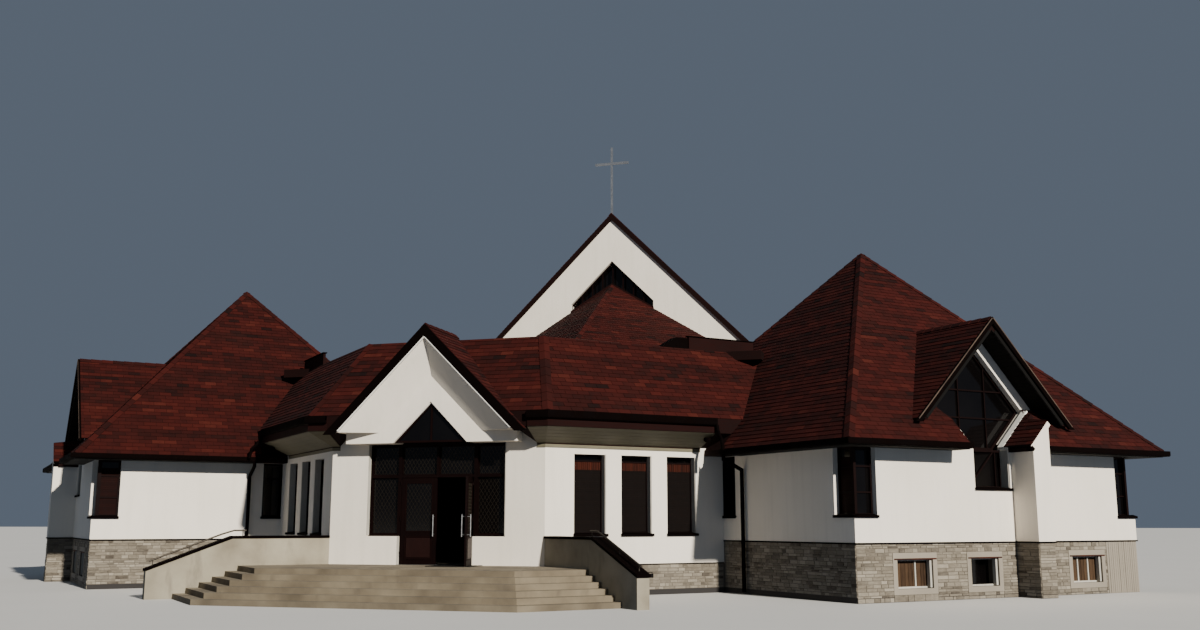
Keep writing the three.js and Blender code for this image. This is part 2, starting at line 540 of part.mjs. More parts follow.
const finOutline = [[FIN_START, WING_BASE], [FIN_END, WING_BASE], [FIN_END, FIN_LOW + FIN_END - FIN_START],
  [FIN_START, FIN_LOW]];
const fin = slab(finOutline, WING_V - FIN_REACH, WING_V + WALL / 2);
const basementCut = ([u0, u1]) => box(u0, u1, WING_V - CUT, WING_V + WALL + CUT, BASEMENT_LOW, BASEMENT_HIGH);
const baseRing = ringAround(-BASE_SETBACK, WALL - BASE_SETBACK, 0, WING_BASE - GAP);
const wingBase = union([
  difference(baseRing, BASEMENT_WINDOWS.map(basementCut)),
  box(WING_U + WALL / 2, WING_U_END - WALL / 2, WING_V + WALL / 2, WING_V_END - WALL / 2,
    WING_BASE - FLOOR_THICKNESS, WING_BASE - GAP),
  box(FIN_START + BASE_SETBACK, FIN_END - BASE_SETBACK, WING_V - FIN_REACH + BASE_SETBACK,
    WING_V + WALL / 2, 0, WING_BASE - GAP)]);
pair('wing_base', turned(wingBase), STONE);

const cornerCut = (u, v) => box(u - CORNER_WINDOW, u + CORNER_WINDOW, v - CORNER_WINDOW, v + CORNER_WINDOW,
  WING_SILL, WING_HEAD);
const cornerCuts = [cornerCut(WING_U, WING_V), cornerCut(WING_U_END, WING_V), cornerCut(WING_U_END, WING_V_END)];
const gableTop = DORMER_RIDGE - DORMER_DEPTH - GAP;
const gableLow = WING_WALL_TOP - DORMER_DEPTH;
const dormerGable = slab([[DORMER_U - gableTop + gableLow, gableLow], [DORMER_U + gableTop - gableLow, gableLow],
  [DORMER_U, gableTop]], gableV, gableV + WALL);
const lowerFront = box(WING_U, WING_U_END, WING_V, WING_V + WALL, WING_BASE, WING_WALL_TOP);
const wingFrontWall = difference(union([lowerFront, dormerGable, fin]), [arrowCut, ...cornerCuts]);
pair('wing_front_wall', turned(wingFrontWall), RENDER);

const behindFrontWall = box(-FAR, FAR, WING_V + WALL + GAP, FAR, -FAR, FAR);
const narrowCut = box(WING_U - CUT, WING_U + WALL + CUT, ...NARROW_WINDOW, WING_SILL, WING_HEAD);
const wingWay = box(WING_U - CUT, WAY_END_U, WAY_START_V, WING_V_END + CUT, WING_BASE - CUT, WING_HEAD + GLASS_LAP);
const wingSideWalls = difference(
  ringAround(0, WALL, WING_BASE, WING_WALL_TOP).intersect(behindFrontWall), [narrowCut, wingWay, ...cornerCuts]);
pair('wing_side_walls', turned(wingSideWalls), RENDER);

const dormerOutline = (drop, foot) => {
  const half = DORMER_RIDGE - drop - foot;
  return [[DORMER_U - half, foot], [DORMER_U + half, foot], [DORMER_U, DORMER_RIDGE - drop]];
};
const dormerFoot = DORMER_RIDGE - DORMER_HALF;
const dormerSolid = slab(dormerOutline(0, dormerFoot), WING_V - DORMER_FRONT, WING_CENTRE[1]);
const dormerMouth = slab(dormerOutline(DORMER_DEPTH, dormerFoot), WING_V - DORMER_FRONT - CUT, gableV + WALL);
const dormerRoom = slab(dormerOutline(DORMER_DEPTH, WING_EAVE - UNDERCUT), gableV - GAP, WING_CENTRE[1]);
const pyramidShell = pyramid(0).intersect(aboveWingEave).subtract(pyramid(ROOF_DEPTH));
const eavesBox = ringAround(WING_OVERHANG - EAVE_LAP, WING_OVERHANG - EAVE_LAP - GAP, WING_HEAD,
  WING_EAVE + EAVE_LAP / 2);
const dormerShell = dormerSolid.subtract(dormerMouth).subtract(pyramid(ROOF_DEPTH));
const finTop = FIN_LOW + FIN_END - FIN_START;
const finClear = slab([[FIN_START - GAP, 0], [FIN_END + GAP, 0], [FIN_END + GAP, finTop + 2 * GAP],
  [FIN_START - GAP, FIN_LOW + 2 * GAP]], WING_V - FIN_REACH - GAP, WING_V + WALL / 2 + GAP);
const wingRoofLocal = difference(union([pyramidShell, eavesBox, dormerShell]), [dormerRoom, arrowCut, eaveNotch, finClear]);
const sideWallZone = turned(box(-FAR, WING_U + CUT, FRONT_V - GAP, FAR, -FAR, BAND_TOP));
const wingRoof = difference(turned(wingRoofLocal), [
  bandHull(-GAP).intersect(box(-FAR, FAR, -FAR, FAR, SOFFIT_WALL - CUT, FAR)),
  deckColumn, sideWallZone]);
piece('wing_roof_right', wingRoof, TILES);
piece('wing_roof_left', mirrored(wingRoof), TILES);

// A verge board follows the gable of each dormer
const dormerVerge = slab(ridgeOutline(DORMER_RIDGE + 20, DORMER_VERGE, dormerFoot - 80).map(([u, z]) =>
  [u + DORMER_U, z]), WING_V - DORMER_FRONT - VERGE_BOARD, WING_V - DORMER_FRONT - GAP);
pair('wing_verge', turned(dormerVerge), DARK_METAL);

// Pavilion gutters: an inner run with its downpipe, and an outer run past the buttress
const gutterRing = ringAround(WING_OVERHANG + GUTTER, GUTTER - GAP, WING_EAVE - GUTTER_DEPTH, WING_EAVE);
const neckStart = DORMER_U - ARROW_NECK_HALF;
const gutterStop = DORMER_U - EAVE_NOTCH;
const innerRun = gutterRing.intersect(
  box(-FAR, gutterStop, -FAR, FRONT_V - BAND_OVERHANG - GUTTER - GUTTER_END, -FAR, FAR));
const outerRun = turned(gutterRing.intersect(box(FIN_END + GUTTER_END, FAR, -FAR, FAR, -FAR, FAR)));
const outerBack = outerRun.subtract(box(0, HALL_HALF + GUTTER_END, 0, FAR, -FAR, FAR));
const pipeU = WING_U - PIPE_RADIUS - PIPE_STAND;
const gutterU = WING_U - WING_OVERHANG - GUTTER / 2;
const pipePath = [[gutterU, WING_EAVE - GUTTER_DEPTH + PIPE_LAP], [gutterU, PIPE_KNEE_HIGH], [pipeU, PIPE_KNEE_LOW],
  [pipeU, PIPE_FOOT]].map(([u, z]) => new THREE.Vector3(u, PIPE_V, z));
pair('wing_gutter_inner', turned(union([innerRun, swept(pipePath, PIPE_RADIUS)])), DARK_METAL);
pair('wing_gutter_outer', outerBack, DARK_METAL);

// One sheet of glass behind the windows of each pavilion, and one behind its basement windows
const sheetNear = WING_V + WALL + GAP;
const sheetRing = ringAround(-WALL - GAP, GLASS, WING_SILL - GLASS_LAP, WING_HEAD + GLASS_LAP);
const neckEnd = DORMER_U + ARROW_NECK_HALF;
const arrowNear = gableV + WALL + GAP;
const arrowSheet = slab([[neckStart - GLASS_LAP, WING_HEAD], [neckEnd + GLASS_LAP, WING_HEAD],
  [DORMER_U + ARROW_WIDE_HALF + GLASS_LAP, ARROW_WIDE], [DORMER_U, ARROW_WIDE + ARROW_WIDE_HALF + GLASS_LAP],
  [DORMER_U - ARROW_WIDE_HALF - GLASS_LAP, ARROW_WIDE]], arrowNear, arrowNear + GLASS);
const sheetTop = WING_HEAD + GLASS_LAP;
const arrowLedge = box(neckStart - GLASS_LAP, neckEnd + GLASS_LAP, sheetNear, arrowNear + GLASS,
  sheetTop - GLASS, sheetTop);
pair('wing_glass', turned(union([sheetRing, arrowSheet, arrowLedge]).subtract(wingWay)), GLAZING);
const basementSheet = box(BASEMENT_WINDOWS[0][0] - GLASS_LAP, BASEMENT_WINDOWS[2][1] + GLASS_LAP,
  sheetNear, sheetNear + BASEMENT_BOARD, BASEMENT_LOW - GLASS_LAP, BASEMENT_HIGH + GLASS_LAP);
pair('wing_basement_panes', turned(basementSheet), GLAZING);

// Hall walls between the pavilions and the nave
const hallWallStart = HALL_HALF + (WING_V_END + GAP) * Math.SQRT2;
const hallWall = plate([[HALL_HALF, hallWallStart], [HALL_HALF, NAVE_Y - GAP], [HALL_HALF - WALL, NAVE_Y - GAP],
  [HALL_HALF - WALL, hallWallStart - WALL]], 0, BAND_TOP - ROOF_DEPTH);
pair('hall_wall', hallWall.subtract(aboveNaveCeiling), RENDER);

// The roof before the nave gable is half a pyramid with a hip towards the entrance
const halfPyramid = (drop, backY) => {
  const reach = (CENTRE_APEX - BAND_TOP) / CENTRE_SLOPE;
  const low = BAND_TOP + GAP - drop;
  return hull([[0, backY, CENTRE_APEX - drop], [0, backY - reach, low], [-reach, backY, low], [reach, backY, low]]);
};
const roofFace = NAVE_Y - GAP;
const centralRoof = halfPyramid(0, roofFace).subtract(halfPyramid(ROOF_DEPTH, roofFace + CUT));
piece('central_roof', centralRoof.subtract(aboveNaveCeiling), TILES);

// Nave: two gables, two side walls, a pitched roof and the cross on its front ridge
const gableOutline = [[-NAVE_HALF, 0], [NAVE_HALF, 0], [NAVE_HALF, NAVE_WALL_TOP],
  [0, NAVE_WALL_TOP + NAVE_HALF], [-NAVE_HALF, NAVE_WALL_TOP]];
const chevronFoot = CHEVRON_TOP - CHEVRON_HALF;
const roofLine = (x) => CENTRE_APEX - CENTRE_SLOPE * x + CHEVRON_CLEAR;
const chevron = [[0, roofLine(0)], [CHEVRON_HALF, roofLine(CHEVRON_HALF)], [CHEVRON_HALF, chevronFoot],
  [0, CHEVRON_TOP], [-CHEVRON_HALF, chevronFoot], [-CHEVRON_HALF, roofLine(CHEVRON_HALF)]];
const hallArch = box(-HALL_ARCH_HALF, HALL_ARCH_HALF, NAVE_Y - CUT, NAVE_Y + WALL + CUT,
  FLOOR - FLOOR_THICKNESS, HALL_ARCH_TOP);
piece('nave_front_gable', difference(slab(gableOutline, NAVE_Y, NAVE_Y + WALL),
  [slab(chevron, NAVE_Y - CUT, NAVE_Y + WALL + CUT), hallArch]), RENDER);
const chevronSheet = chevron.map(([x, z]) => [x + Math.sign(x) * GLASS_LAP, z]);
piece('chevron_glass', slab(chevronSheet, NAVE_Y + WALL + GAP, NAVE_Y + WALL + GAP + GLASS), GLAZING);
piece('nave_back_gable', slab(gableOutline, NAVE_BACK_Y - WALL, NAVE_BACK_Y), RENDER);

const naveWindow = (start) => box(NAVE_HALF - WALL - CUT, NAVE_HALF + CUT, NAVE_Y + start,
  NAVE_Y + start + NAVE_WINDOW_WIDTH, FRONT_SILL, FRONT_HEAD);
const naveWall = box(NAVE_HALF - WALL, NAVE_HALF, NAVE_Y + WALL + GAP, NAVE_BACK_Y - WALL - GAP, 0, NAVE_WALL_TOP);
pair('nave_wall', difference(naveWall, NAVE_WINDOW_STARTS.map(naveWindow)), RENDER);
const naveSheet = box(NAVE_HALF - WALL - GAP - GLASS, NAVE_HALF - WALL - GAP,
  NAVE_Y + NAVE_WINDOW_STARTS[0] - GLASS_LAP, NAVE_Y + NAVE_WINDOW_STARTS[3] + NAVE_WINDOW_WIDTH + GLASS_LAP,
  FRONT_SILL - GLASS_LAP, FRONT_HEAD + GLASS_LAP);
pair('nave_glass', naveSheet, GLAZING);

const naveEave = NAVE_RIDGE - NAVE_HALF - NAVE_OVERHANG;
const naveEdge = NAVE_HALF + NAVE_OVERHANG;
const naveRoofOutline = [[-naveEdge, naveEave], [-naveEdge, naveEave - NAVE_ROOF_DEPTH],
  [0, NAVE_RIDGE - NAVE_ROOF_DEPTH], [naveEdge, naveEave - NAVE_ROOF_DEPTH],
  [naveEdge, naveEave], [0, NAVE_RIDGE]];
piece('nave_roof', slab(naveRoofOutline, NAVE_Y - NAVE_VERGE, NAVE_BACK_Y + NAVE_VERGE), TILES);

const crossY = NAVE_Y - NAVE_VERGE + CROSS_SETBACK;
const halfBar = CROSS_BAR / 2;
const crossPost = box(-halfBar, halfBar, crossY - halfBar, crossY + halfBar, NAVE_RIDGE - CROSS_BAR, CROSS_TOP);
const crossArm = box(-CROSS_SPAN / 2, CROSS_SPAN / 2, crossY - halfBar, crossY + halfBar,
  CROSS_ARM_Z - halfBar, CROSS_ARM_Z + halfBar);
const ridgeSolid = slab([[-NAVE_RIDGE, GAP], [NAVE_RIDGE, GAP], [0, NAVE_RIDGE + GAP]],
  crossY - CROSS_BAR, crossY + CROSS_BAR);
piece('cross', union([crossPost, crossArm]).subtract(ridgeSolid), STEEL);

// The origin goes to the middle of the footprint
const frontmost = TOP_FRONT_Y - TREAD * (RISERS - 1);
const rearmost = NAVE_BACK_Y + NAVE_VERGE;
building.position.y = -(frontmost + rearmost) / 2;

export default building;
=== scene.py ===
import math

import bpy
import numpy as np
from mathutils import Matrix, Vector


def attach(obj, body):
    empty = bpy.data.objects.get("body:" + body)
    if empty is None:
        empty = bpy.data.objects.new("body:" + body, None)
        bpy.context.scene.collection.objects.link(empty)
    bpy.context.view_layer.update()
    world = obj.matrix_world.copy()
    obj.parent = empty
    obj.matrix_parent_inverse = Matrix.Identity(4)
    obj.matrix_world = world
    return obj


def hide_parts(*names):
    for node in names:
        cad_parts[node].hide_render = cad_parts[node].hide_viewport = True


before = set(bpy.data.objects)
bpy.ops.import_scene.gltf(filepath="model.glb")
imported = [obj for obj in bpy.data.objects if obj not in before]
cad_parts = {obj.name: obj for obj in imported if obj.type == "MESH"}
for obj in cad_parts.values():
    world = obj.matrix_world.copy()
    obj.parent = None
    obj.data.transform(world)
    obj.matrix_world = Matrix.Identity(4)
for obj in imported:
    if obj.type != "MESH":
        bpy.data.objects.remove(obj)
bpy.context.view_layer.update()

# Sizes in metres; Y in the functions below is measured from the face of the entrance wall
ENTRANCE_Y = -12.185
ROOT2 = math.sqrt(2)
X, Y, Z = np.eye(3)
U = np.array([1, 1, 0]) / ROOT2
V = np.array([-1, 1, 0]) / ROOT2
SPLAY_X = 2.89
FRONT_V = -SPLAY_X / ROOT2
WING_U, WING_V, WING_SIDE = 7.28, -7.18, 9.6
WING_U_END, WING_V_END = WING_U + WING_SIDE, WING_V + WING_SIDE
WING_MID_U, WING_MID_V = WING_U + WING_SIDE / 2, WING_V + WING_SIDE / 2
WING_EDGE, WING_EAVE, WING_APEX = 5.38, 3.64, 9.5
WING_PITCH = (WING_APEX - WING_EAVE) / WING_EDGE
BAND_EAVE, BAND_TOP, BAND_REACH, BAND_RUN = 4.44, 6.515, 0.74, 1.741
BAND_PITCH = (BAND_TOP - BAND_EAVE) / BAND_RUN
GABLE_RIDGE, GABLE_FOOT, GABLE_FRONT, GABLE_BACK = 6.65, 4.01, -0.86, 1.08
DORMER_U, DORMER_RIDGE, DORMER_FOOT, DORMER_FRONT, DORMER_BACK = 11.7, 6.8, 4.2, -7.43, -4.87
NAVE_FRONT, NAVE_BACK, NAVE_RIDGE, NAVE_EDGE = 16.35, 28.73, 13.96, 9.6
NOTCH = 1.3
NAVE_WALL_Y = 16.43
CENTRE_APEX, CENTRE_SLOPE = 11.05, 0.606
COURSE, TAB = 0.145, 0.333
BAND_HIP_FOOT, BAND_HIP_TOP = 3.1965, 2.4754


def grid(u, v, z=0.0):
    """A place in the pavilions' grid, which is turned by 45 degrees: u runs right and back, v runs left and back."""
    return np.array([(u - v) / ROOT2, (u + v) / ROOT2 + ENTRANCE_Y, z])


def plan(x, y, z=0.0):
    """A place measured square to the entrance wall."""
    return np.array([x, y + ENTRANCE_Y, z])


def upright(origin, away):
    """A wall's own axes: its origin, the way along it, up, and out of it."""
    return origin, np.cross(Z, away), Z, away


def slope(origin, away, pitch):
    """A roof plane's own axes: along the eave, up the slope at the given rise per run, and square out of it."""
    along = np.cross(Z, away)
    up = (pitch * Z - away) / math.hypot(1, pitch)
    return origin, along, up, np.cross(along, up)


def placed(face, a, b, c):
    """Origin plus a times along, b times up and c times out, for whole arrays of a, b and c."""
    origin, along, up, out = face
    a, b, c = np.broadcast_arrays(a, b, c)
    return origin + a[..., None] * along + b[..., None] * up + c[..., None] * out


SIX_SIDES = np.array([[1, 5, 7, 3], [0, 2, 6, 4], [4, 6, 7, 5], [0, 1, 3, 2], [2, 3, 7, 6], [0, 4, 5, 1]])


def six_sided(corners, tones=None):
    """Closed blocks from an array of corners, eight to a block, in the order along, up, out."""
    corners = corners.reshape(-1, 8, 3)
    faces = (np.arange(len(corners)) * 8)[:, None, None] + SIX_SIDES
    tones = np.full(len(corners), 0.5) if tones is None else tones
    return corners.reshape(-1, 3), faces.reshape(-1, 4), np.repeat(tones, 8)


def blocks(face, extents, chamfer=0.0, tones=None):
    """Blocks from rows of first and last a, b and c; the front of each is drawn in by the chamfer."""
    a0, a1, b0, b1, c0, c1 = np.asarray(extents, float).reshape(-1, 6).T
    inset = np.array([0.0, 1.0]) * chamfer
    a = np.stack([a0[:, None] + inset, a1[:, None] - inset], 1)[:, :, None, :]
    b = np.stack([b0[:, None] + inset, b1[:, None] - inset], 1)[:, None, :, :]
    c = np.stack([c0, c1], 1)[:, None, None, :]
    return six_sided(placed(face, *np.broadcast_arrays(a, b, c)), tones)


def together(*parts):
    """Several sets of points, faces and tones made one."""
    starts = np.cumsum([0] + [len(p[0]) for p in parts[:-1]])
    return (np.concatenate([p[0] for p in parts]), np.concatenate([p[1] + s for p, s in zip(parts, starts)]),
            np.concatenate([p[2] for p in parts]))


def outward(points, faces):
    """The faces, all turned over if the volume that they hold is negative. Six times that volume is a sum over the
    faces: the first corner times the cross products of the second and third and of the third and fourth."""
    corner = points[faces]
    fan = np.cross(corner[:, 1], corner[:, 2]) + np.cross(corner[:, 2], corner[:, 3])
    return faces[:, ::-1] if (corner[:, 0] * fan).sum() < 0 else faces


def fix_turn(shape):
    """The same shape with its faces turned outward, seen from its middle."""
    points, faces, tones = shape
    return points, outward(points - points.mean(0), faces), tones


def make(name, shape, finish, body="building", mirrored=False, replaces=()):
    """One mesh object from a shape, or from a list of shapes made one, turned outward. A shape is points, faces and a
    tone for each point. A face names four corners, and one that is named twice counts once, so it has three."""
    points, faces, tones = together(*shape) if isinstance(shape, list) else shape
    if mirrored:
        points = points * (-1, 1, 1)
    mesh = bpy.data.meshes.new(name)
    mesh.from_pydata(points.tolist(), [], [list(dict.fromkeys(corners)) for corners in outward(points, faces).tolist()])
    mesh.attributes.new("tone", "FLOAT", "POINT").data.foreach_set("value", tones.astype(np.float32))
    mesh.materials.append(finish)
    piece = bpy.data.objects.new(name, mesh)
    bpy.context.scene.collection.objects.link(piece)
    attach(piece, body)
    if replaces:
        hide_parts(*replaces)


def make_pair(name, shape, finish, replaces=(), bodies=("building", "building")):
    """The piece on the right and its mirror image on the left."""
    make(f"{name}_right", shape, finish, bodies[0], False, [f"{n}_right" for n in replaces])
    make(f"{name}_left", shape, finish, bodies[1], True, [f"{n}_left" for n in replaces])


def unit(rows):
    """Each row divided by its length."""
    return rows / np.linalg.norm(rows, axis=-1, keepdims=True)


def tube(rings):
    """A tube through rings of as many points each, closed at both ends by a fan of three-cornered faces from the middle
    of the ring there."""
    n, m = rings.shape[:2]
    j = np.arange(m)
    k = (j + 1) % m
    here, end = np.arange(n - 1)[:, None] * m, (n - 1) * m
    sides = np.stack([here + j, here + k, here + m + k, here + m + j], -1).reshape(-1, 4)
    first, last = np.full(m, n * m), np.full(m, n * m + 1)
    fans = [np.stack([k, j, first, first], -1), np.stack([j + end, k + end, last, last], -1)]
    points = np.concatenate([rings.reshape(-1, 3), [rings[0].mean(0), rings[-1].mean(0)]])
    return points, np.concatenate([sides, *fans]), np.full(len(points), 0.5)


def circle(radius, count=12):
    """Points round a circle at even angles."""
    turn = np.arange(count) * 2 * math.pi / count
    return radius * np.stack([np.cos(turn), np.sin(turn)], 1)


def carried(profile, path, square_to):
    """A closed profile carried along a path that lies in one plane: at each point its first measure goes square to the
    path in that plane, stretched by the mitre, and its second along the plane's normal."""
    path = np.asarray(path, float)
    legs = unit(np.diff(path, axis=0))
    before, after = np.vstack([legs[:1], legs]), np.vstack([legs, legs[-1:]])
    aside = unit(np.cross(before, square_to) + np.cross(after, square_to))
    mitre = aside / np.einsum("ij,ij->i", aside, np.cross(after, square_to))[:, None]
    return tube(path[:, None] + profile[None, :, :1] * mitre[:, None] + profile[None, :, 1:] * square_to)


def bent_pipe(path, radius):
    """A round section set square to the mean direction at each point of a path, and the rings joined into a tube."""
    path = np.asarray(path, float)
    legs = unit(np.diff(path, axis=0))
    way = unit(np.vstack([legs[:1], legs]) + np.vstack([legs, legs[-1:]]))
    first = unit(np.cross(way, np.cross(legs[0], legs[-1])))
    across, over = circle(radius).T[:, None, :, None]
    return fix_turn(tube(path[:, None] + across * first[:, None] + over * np.cross(way, first)[:, None]))


def shingles(face, outline, seed):
    """Shingles on a roof plane, a grid of course by tab. Tab (i, j) reaches from i to i + 1 courses up the slope and
    from j to j + 1 tabs along, every other course half a tab over; its ends are held within the roof's outline, and
    it stands 14 to 20 mm proud at its butt and 4 mm at its head. The outline is rows of distance up, left end, right
    end. Tones follow a slow wave along each course, with a small random part."""
    chance = np.random.default_rng(seed)
    slit, least, butt, head, back = 0.004, 0.012, (0.014, 0.02), 0.004, -0.002
    up, left, right = np.asarray(outline, float).T
    low = np.arange(up[0], up[-1] - 0.01, COURSE)
    high = np.minimum(low + COURSE, up[-1])
    count = int(np.ceil((right.max() - left.min()) / TAB)) + 3
    shift = (np.arange(len(low)) % 2) * TAB / 2 + chance.uniform(-0.02, 0.02, len(low))
    edge = left.min() - TAB + shift[:, None] + np.arange(count + 1)[None, :] * TAB
    ends = []
    for level, nudge in ((low, 1e-6), (high, -1e-6)):
        l, r = np.interp(level + nudge, up, left)[:, None], np.interp(level + nudge, up, right)[:, None]
        ends.append((np.clip(edge[:, :-1] + slit, l, r), np.clip(edge[:, 1:] - slit, l, r)))
    (low_left, low_right), (high_left, high_right) = ends
    keep = np.maximum(low_right - low_left, high_right - high_left) > least
    wave = np.cumsum(chance.normal(0, 0.28, keep.shape), 1) * 2.1 + chance.uniform(0, 6.28, (len(low), 1))
    tone = np.clip(0.5 + 0.22 * np.sin(wave) + chance.normal(0, 0.13, keep.shape), 0, 1)
    a = np.stack([np.stack([low_left, high_left], -1), np.stack([low_right, high_right], -1)], -2)[keep]
    b = np.broadcast_to(np.stack([low, high], -1)[:, None, :], keep.shape + (2,))[keep]
    lift = chance.uniform(*butt, keep.shape)[keep]
    under, over = np.full_like(lift, back), np.full_like(lift, head)
    c = np.stack([np.stack([under, lift], -1), np.stack([under, over], -1)], 1)
    a, b, c = np.broadcast_arrays(a[..., None], b[:, None, :, None], c[:, None, :, :])
    return six_sided(placed(face, a, b, c), tone[keep])


def rises(pitch, rows, base):
    """Outline rows of height, left and right turned into rows of distance up the slope."""
    rows = np.asarray(rows, float)
    return np.column_stack([(rows[:, 0] - base) * math.hypot(1, pitch) / pitch, rows[:, 1:]])


def caps(start, end, away_one, away_two, pitch, seed):
    """Cap shingles folded over a ridge or hip, laid from its low end: each is a bent plate whose two wings follow the
    two roof planes, both of one pitch, raised at its low end over the one before."""
    wing, length, lap, butt, head, shell = 0.13, 0.3, 0.04, 0.034, 0.02, 0.006
    chance = np.random.default_rng(seed)
    line, reach = unit(end - start), np.linalg.norm(end - start)
    wings, normals = [], []
    for away in (away_one, away_two):
        normal = (Z + pitch * away) / math.hypot(1, pitch)
        down = np.cross(line, normal)
        down *= -np.sign(down[2]) if abs(down[2]) > 1e-6 else np.sign(down @ away)
        wings.append(unit(down))
        normals.append(normal)
    crest = unit(normals[0] + normals[1])
    count = int(reach / length)
    at = np.arange(count) * reach / count
    until = np.minimum(at + reach / count + lap, reach)
    tone = np.clip(chance.normal(0.5, 0.2, count), 0, 1)
    parts = []
    for way, normal in zip(wings, normals):
        rows = []
        for s, lift in ((at, butt), (until, head)):
            base = start + s[:, None] * line
            edge = base + way * wing
            rows.append(np.stack([np.stack([edge + normal * shell, edge + normal * lift], 1),
                                  np.stack([base + crest * 0.002, base + crest * (lift + shell)], 1)], 1))
        parts.append(fix_turn(six_sided(np.stack(rows, 2), tone)))
    return together(*parts)


def parted(chance, first, last, least, most):
    """Places from first to last at running sums of seeded random steps, stretched so that they end at the last."""
    steps = np.cumsum(chance.uniform(least, most, int((last - first) / least) + 2))
    n = max(1, int(np.searchsorted(steps, last - first)))
    return np.concatenate([[0], steps[:n]]) * (last - first) / steps[n - 1] + first


def stones(face, panels, seed, base=0.006, relief=0.012):
    """Thin courses of stone in each panel, a rectangle of a and b: courses 45 to 100 mm high and stones 90 to 340 mm
    long, both parted at random, and each stone a block with drawn-in edges."""
    chance = np.random.default_rng(seed)
    joint, back = 0.003, -0.005
    rows = []
    for a0, a1, b0, b1 in panels:
        levels = parted(chance, b0, b1, 0.045, 0.1)
        for low, high in zip(levels[:-1], levels[1:]):
            ends = parted(chance, a0, a1, 0.09, 0.34)
            same = np.ones(len(ends) - 1)
            rows.append(np.column_stack([
                ends[:-1] + joint, ends[1:] - joint, (low + joint) * same, (high - joint) * same, back * same,
                base + chance.uniform(0, relief, len(same))]))
    rows = np.concatenate(rows)
    return blocks(face, rows, 0.006, np.clip(chance.normal(0.5, 0.22, len(rows)), 0, 1))


def around(outline, width):
    """The outline drawn in by the width, each corner moved along its mitre; the outline runs anticlockwise."""
    outline = np.asarray(outline, float)
    leg = unit(np.roll(outline, -1, 0) - outline)
    inward = np.column_stack([-leg[:, 1], leg[:, 0]])
    mid = unit(inward + np.roll(inward, 1, 0))
    return outline + mid * (width / np.einsum("ij,ij->i", mid, inward))[:, None]


def plates(face, near_one, near_two, far_one, far_two, c0, c1):
    """Four-cornered plates between two depths, from arrays of the two near and the two far corners of each."""
    corners = np.stack([np.stack([near_one, near_two], 1), np.stack([far_one, far_two], 1)], 1)
    a, b = corners[..., 0][..., None], corners[..., 1][..., None]
    return six_sided(placed(face, a, b, np.array([c0, c1])))


def ring(face, outline, width, c0, c1, gap=0.0):
    """A flat frame that follows an outline: one block to each side, mitred at the corners."""
    outer, inner = around(outline, gap), around(outline, gap + width)
    return plates(face, outer, inner, np.roll(outer, -1, 0), np.roll(inner, -1, 0), c0, c1)


def prism(face, outline, c0, c1):
    """A plate between two depths over an outline in a and b that can be seen whole from its middle: a ring of sides and
    a fan of three-cornered faces from the middle at each end."""
    outline = np.asarray(outline, float)
    n = len(outline)
    a, b = np.vstack([outline, outline.mean(0)]).T
    points = np.concatenate([placed(face, a, b, np.float64(c)) for c in (c0, c1)])
    j = np.arange(n)
    k = (j + 1) % n
    fans = [np.stack([j + at, k + at, np.full(n, n + at), np.full(n, n + at)], 1)[:, turn]
            for at, turn in ((0, [1, 0, 2, 3]), (n + 1, [0, 1, 2, 3]))]
    sides = np.stack([j, k, k + n + 1, j + n + 1], 1)
    return fix_turn((points, np.concatenate([sides, *fans]), np.full(2 * n + 2, 0.5)))


def leaning(face, start, end, width, c0, c1):
    """A bar from one point of a wall to another: its long edges lie half a width to either side of that line."""
    start, end = np.array(start), np.array(end)
    aside = np.array([start[1] - end[1], end[0] - start[0]]) * width / 2 / math.dist(start, end)
    return prism(face, [start - aside, end - aside, end + aside, start + aside], c0, c1)


def lattice(face, outline, c0, c1):
    """Slanting bars in both ways, held within a convex outline: each line is cut to its stretch inside every edge."""
    spacing, slant, width, least = 0.085, math.radians(58), 0.006, 0.03
    outline = np.asarray(outline, float)
    leg = np.roll(outline, -1, 0) - outline
    inward = np.column_stack([-leg[:, 1], leg[:, 0]])
    rows = []
    for sign in (1, -1):
        way = np.array([math.cos(slant), sign * math.sin(slant)])
        side = np.array([-way[1], way[0]])
        marks = outline @ side
        offsets = np.arange(math.floor(marks.min() / spacing), math.ceil(marks.max() / spacing)) * spacing + spacing / 2
        start = offsets[:, None] * side
        head = ((outline[None] - start[:, None]) * inward[None]).sum(-1)
        rate = way @ inward.T
        limit = head / np.where(abs(rate) < 1e-9, 1e-9, rate)
        low, high = np.where(rate > 0, limit, -1e9).max(1), np.where(rate < 0, limit, 1e9).min(1)
        keep = high - low > least
        s, e = (start + low[:, None] * way)[keep], (start + high[:, None] * way)[keep]
        half = side * width / 2
        rows.append(fix_turn(plates(face, s - half, s + half, e - half, e + half, c0, c1)))
    return together(*rows)


# Materials: colours are given as they look in a picture, 0 to 255
def tint(red, green, blue):
    """A picture colour made linear."""
    values = np.array([red, green, blue]) / 255
    linear = np.where(values <= 0.04045, values / 12.92, ((values + 0.055) / 1.055) ** 2.4)
    return (*linear.tolist(), 1.0)


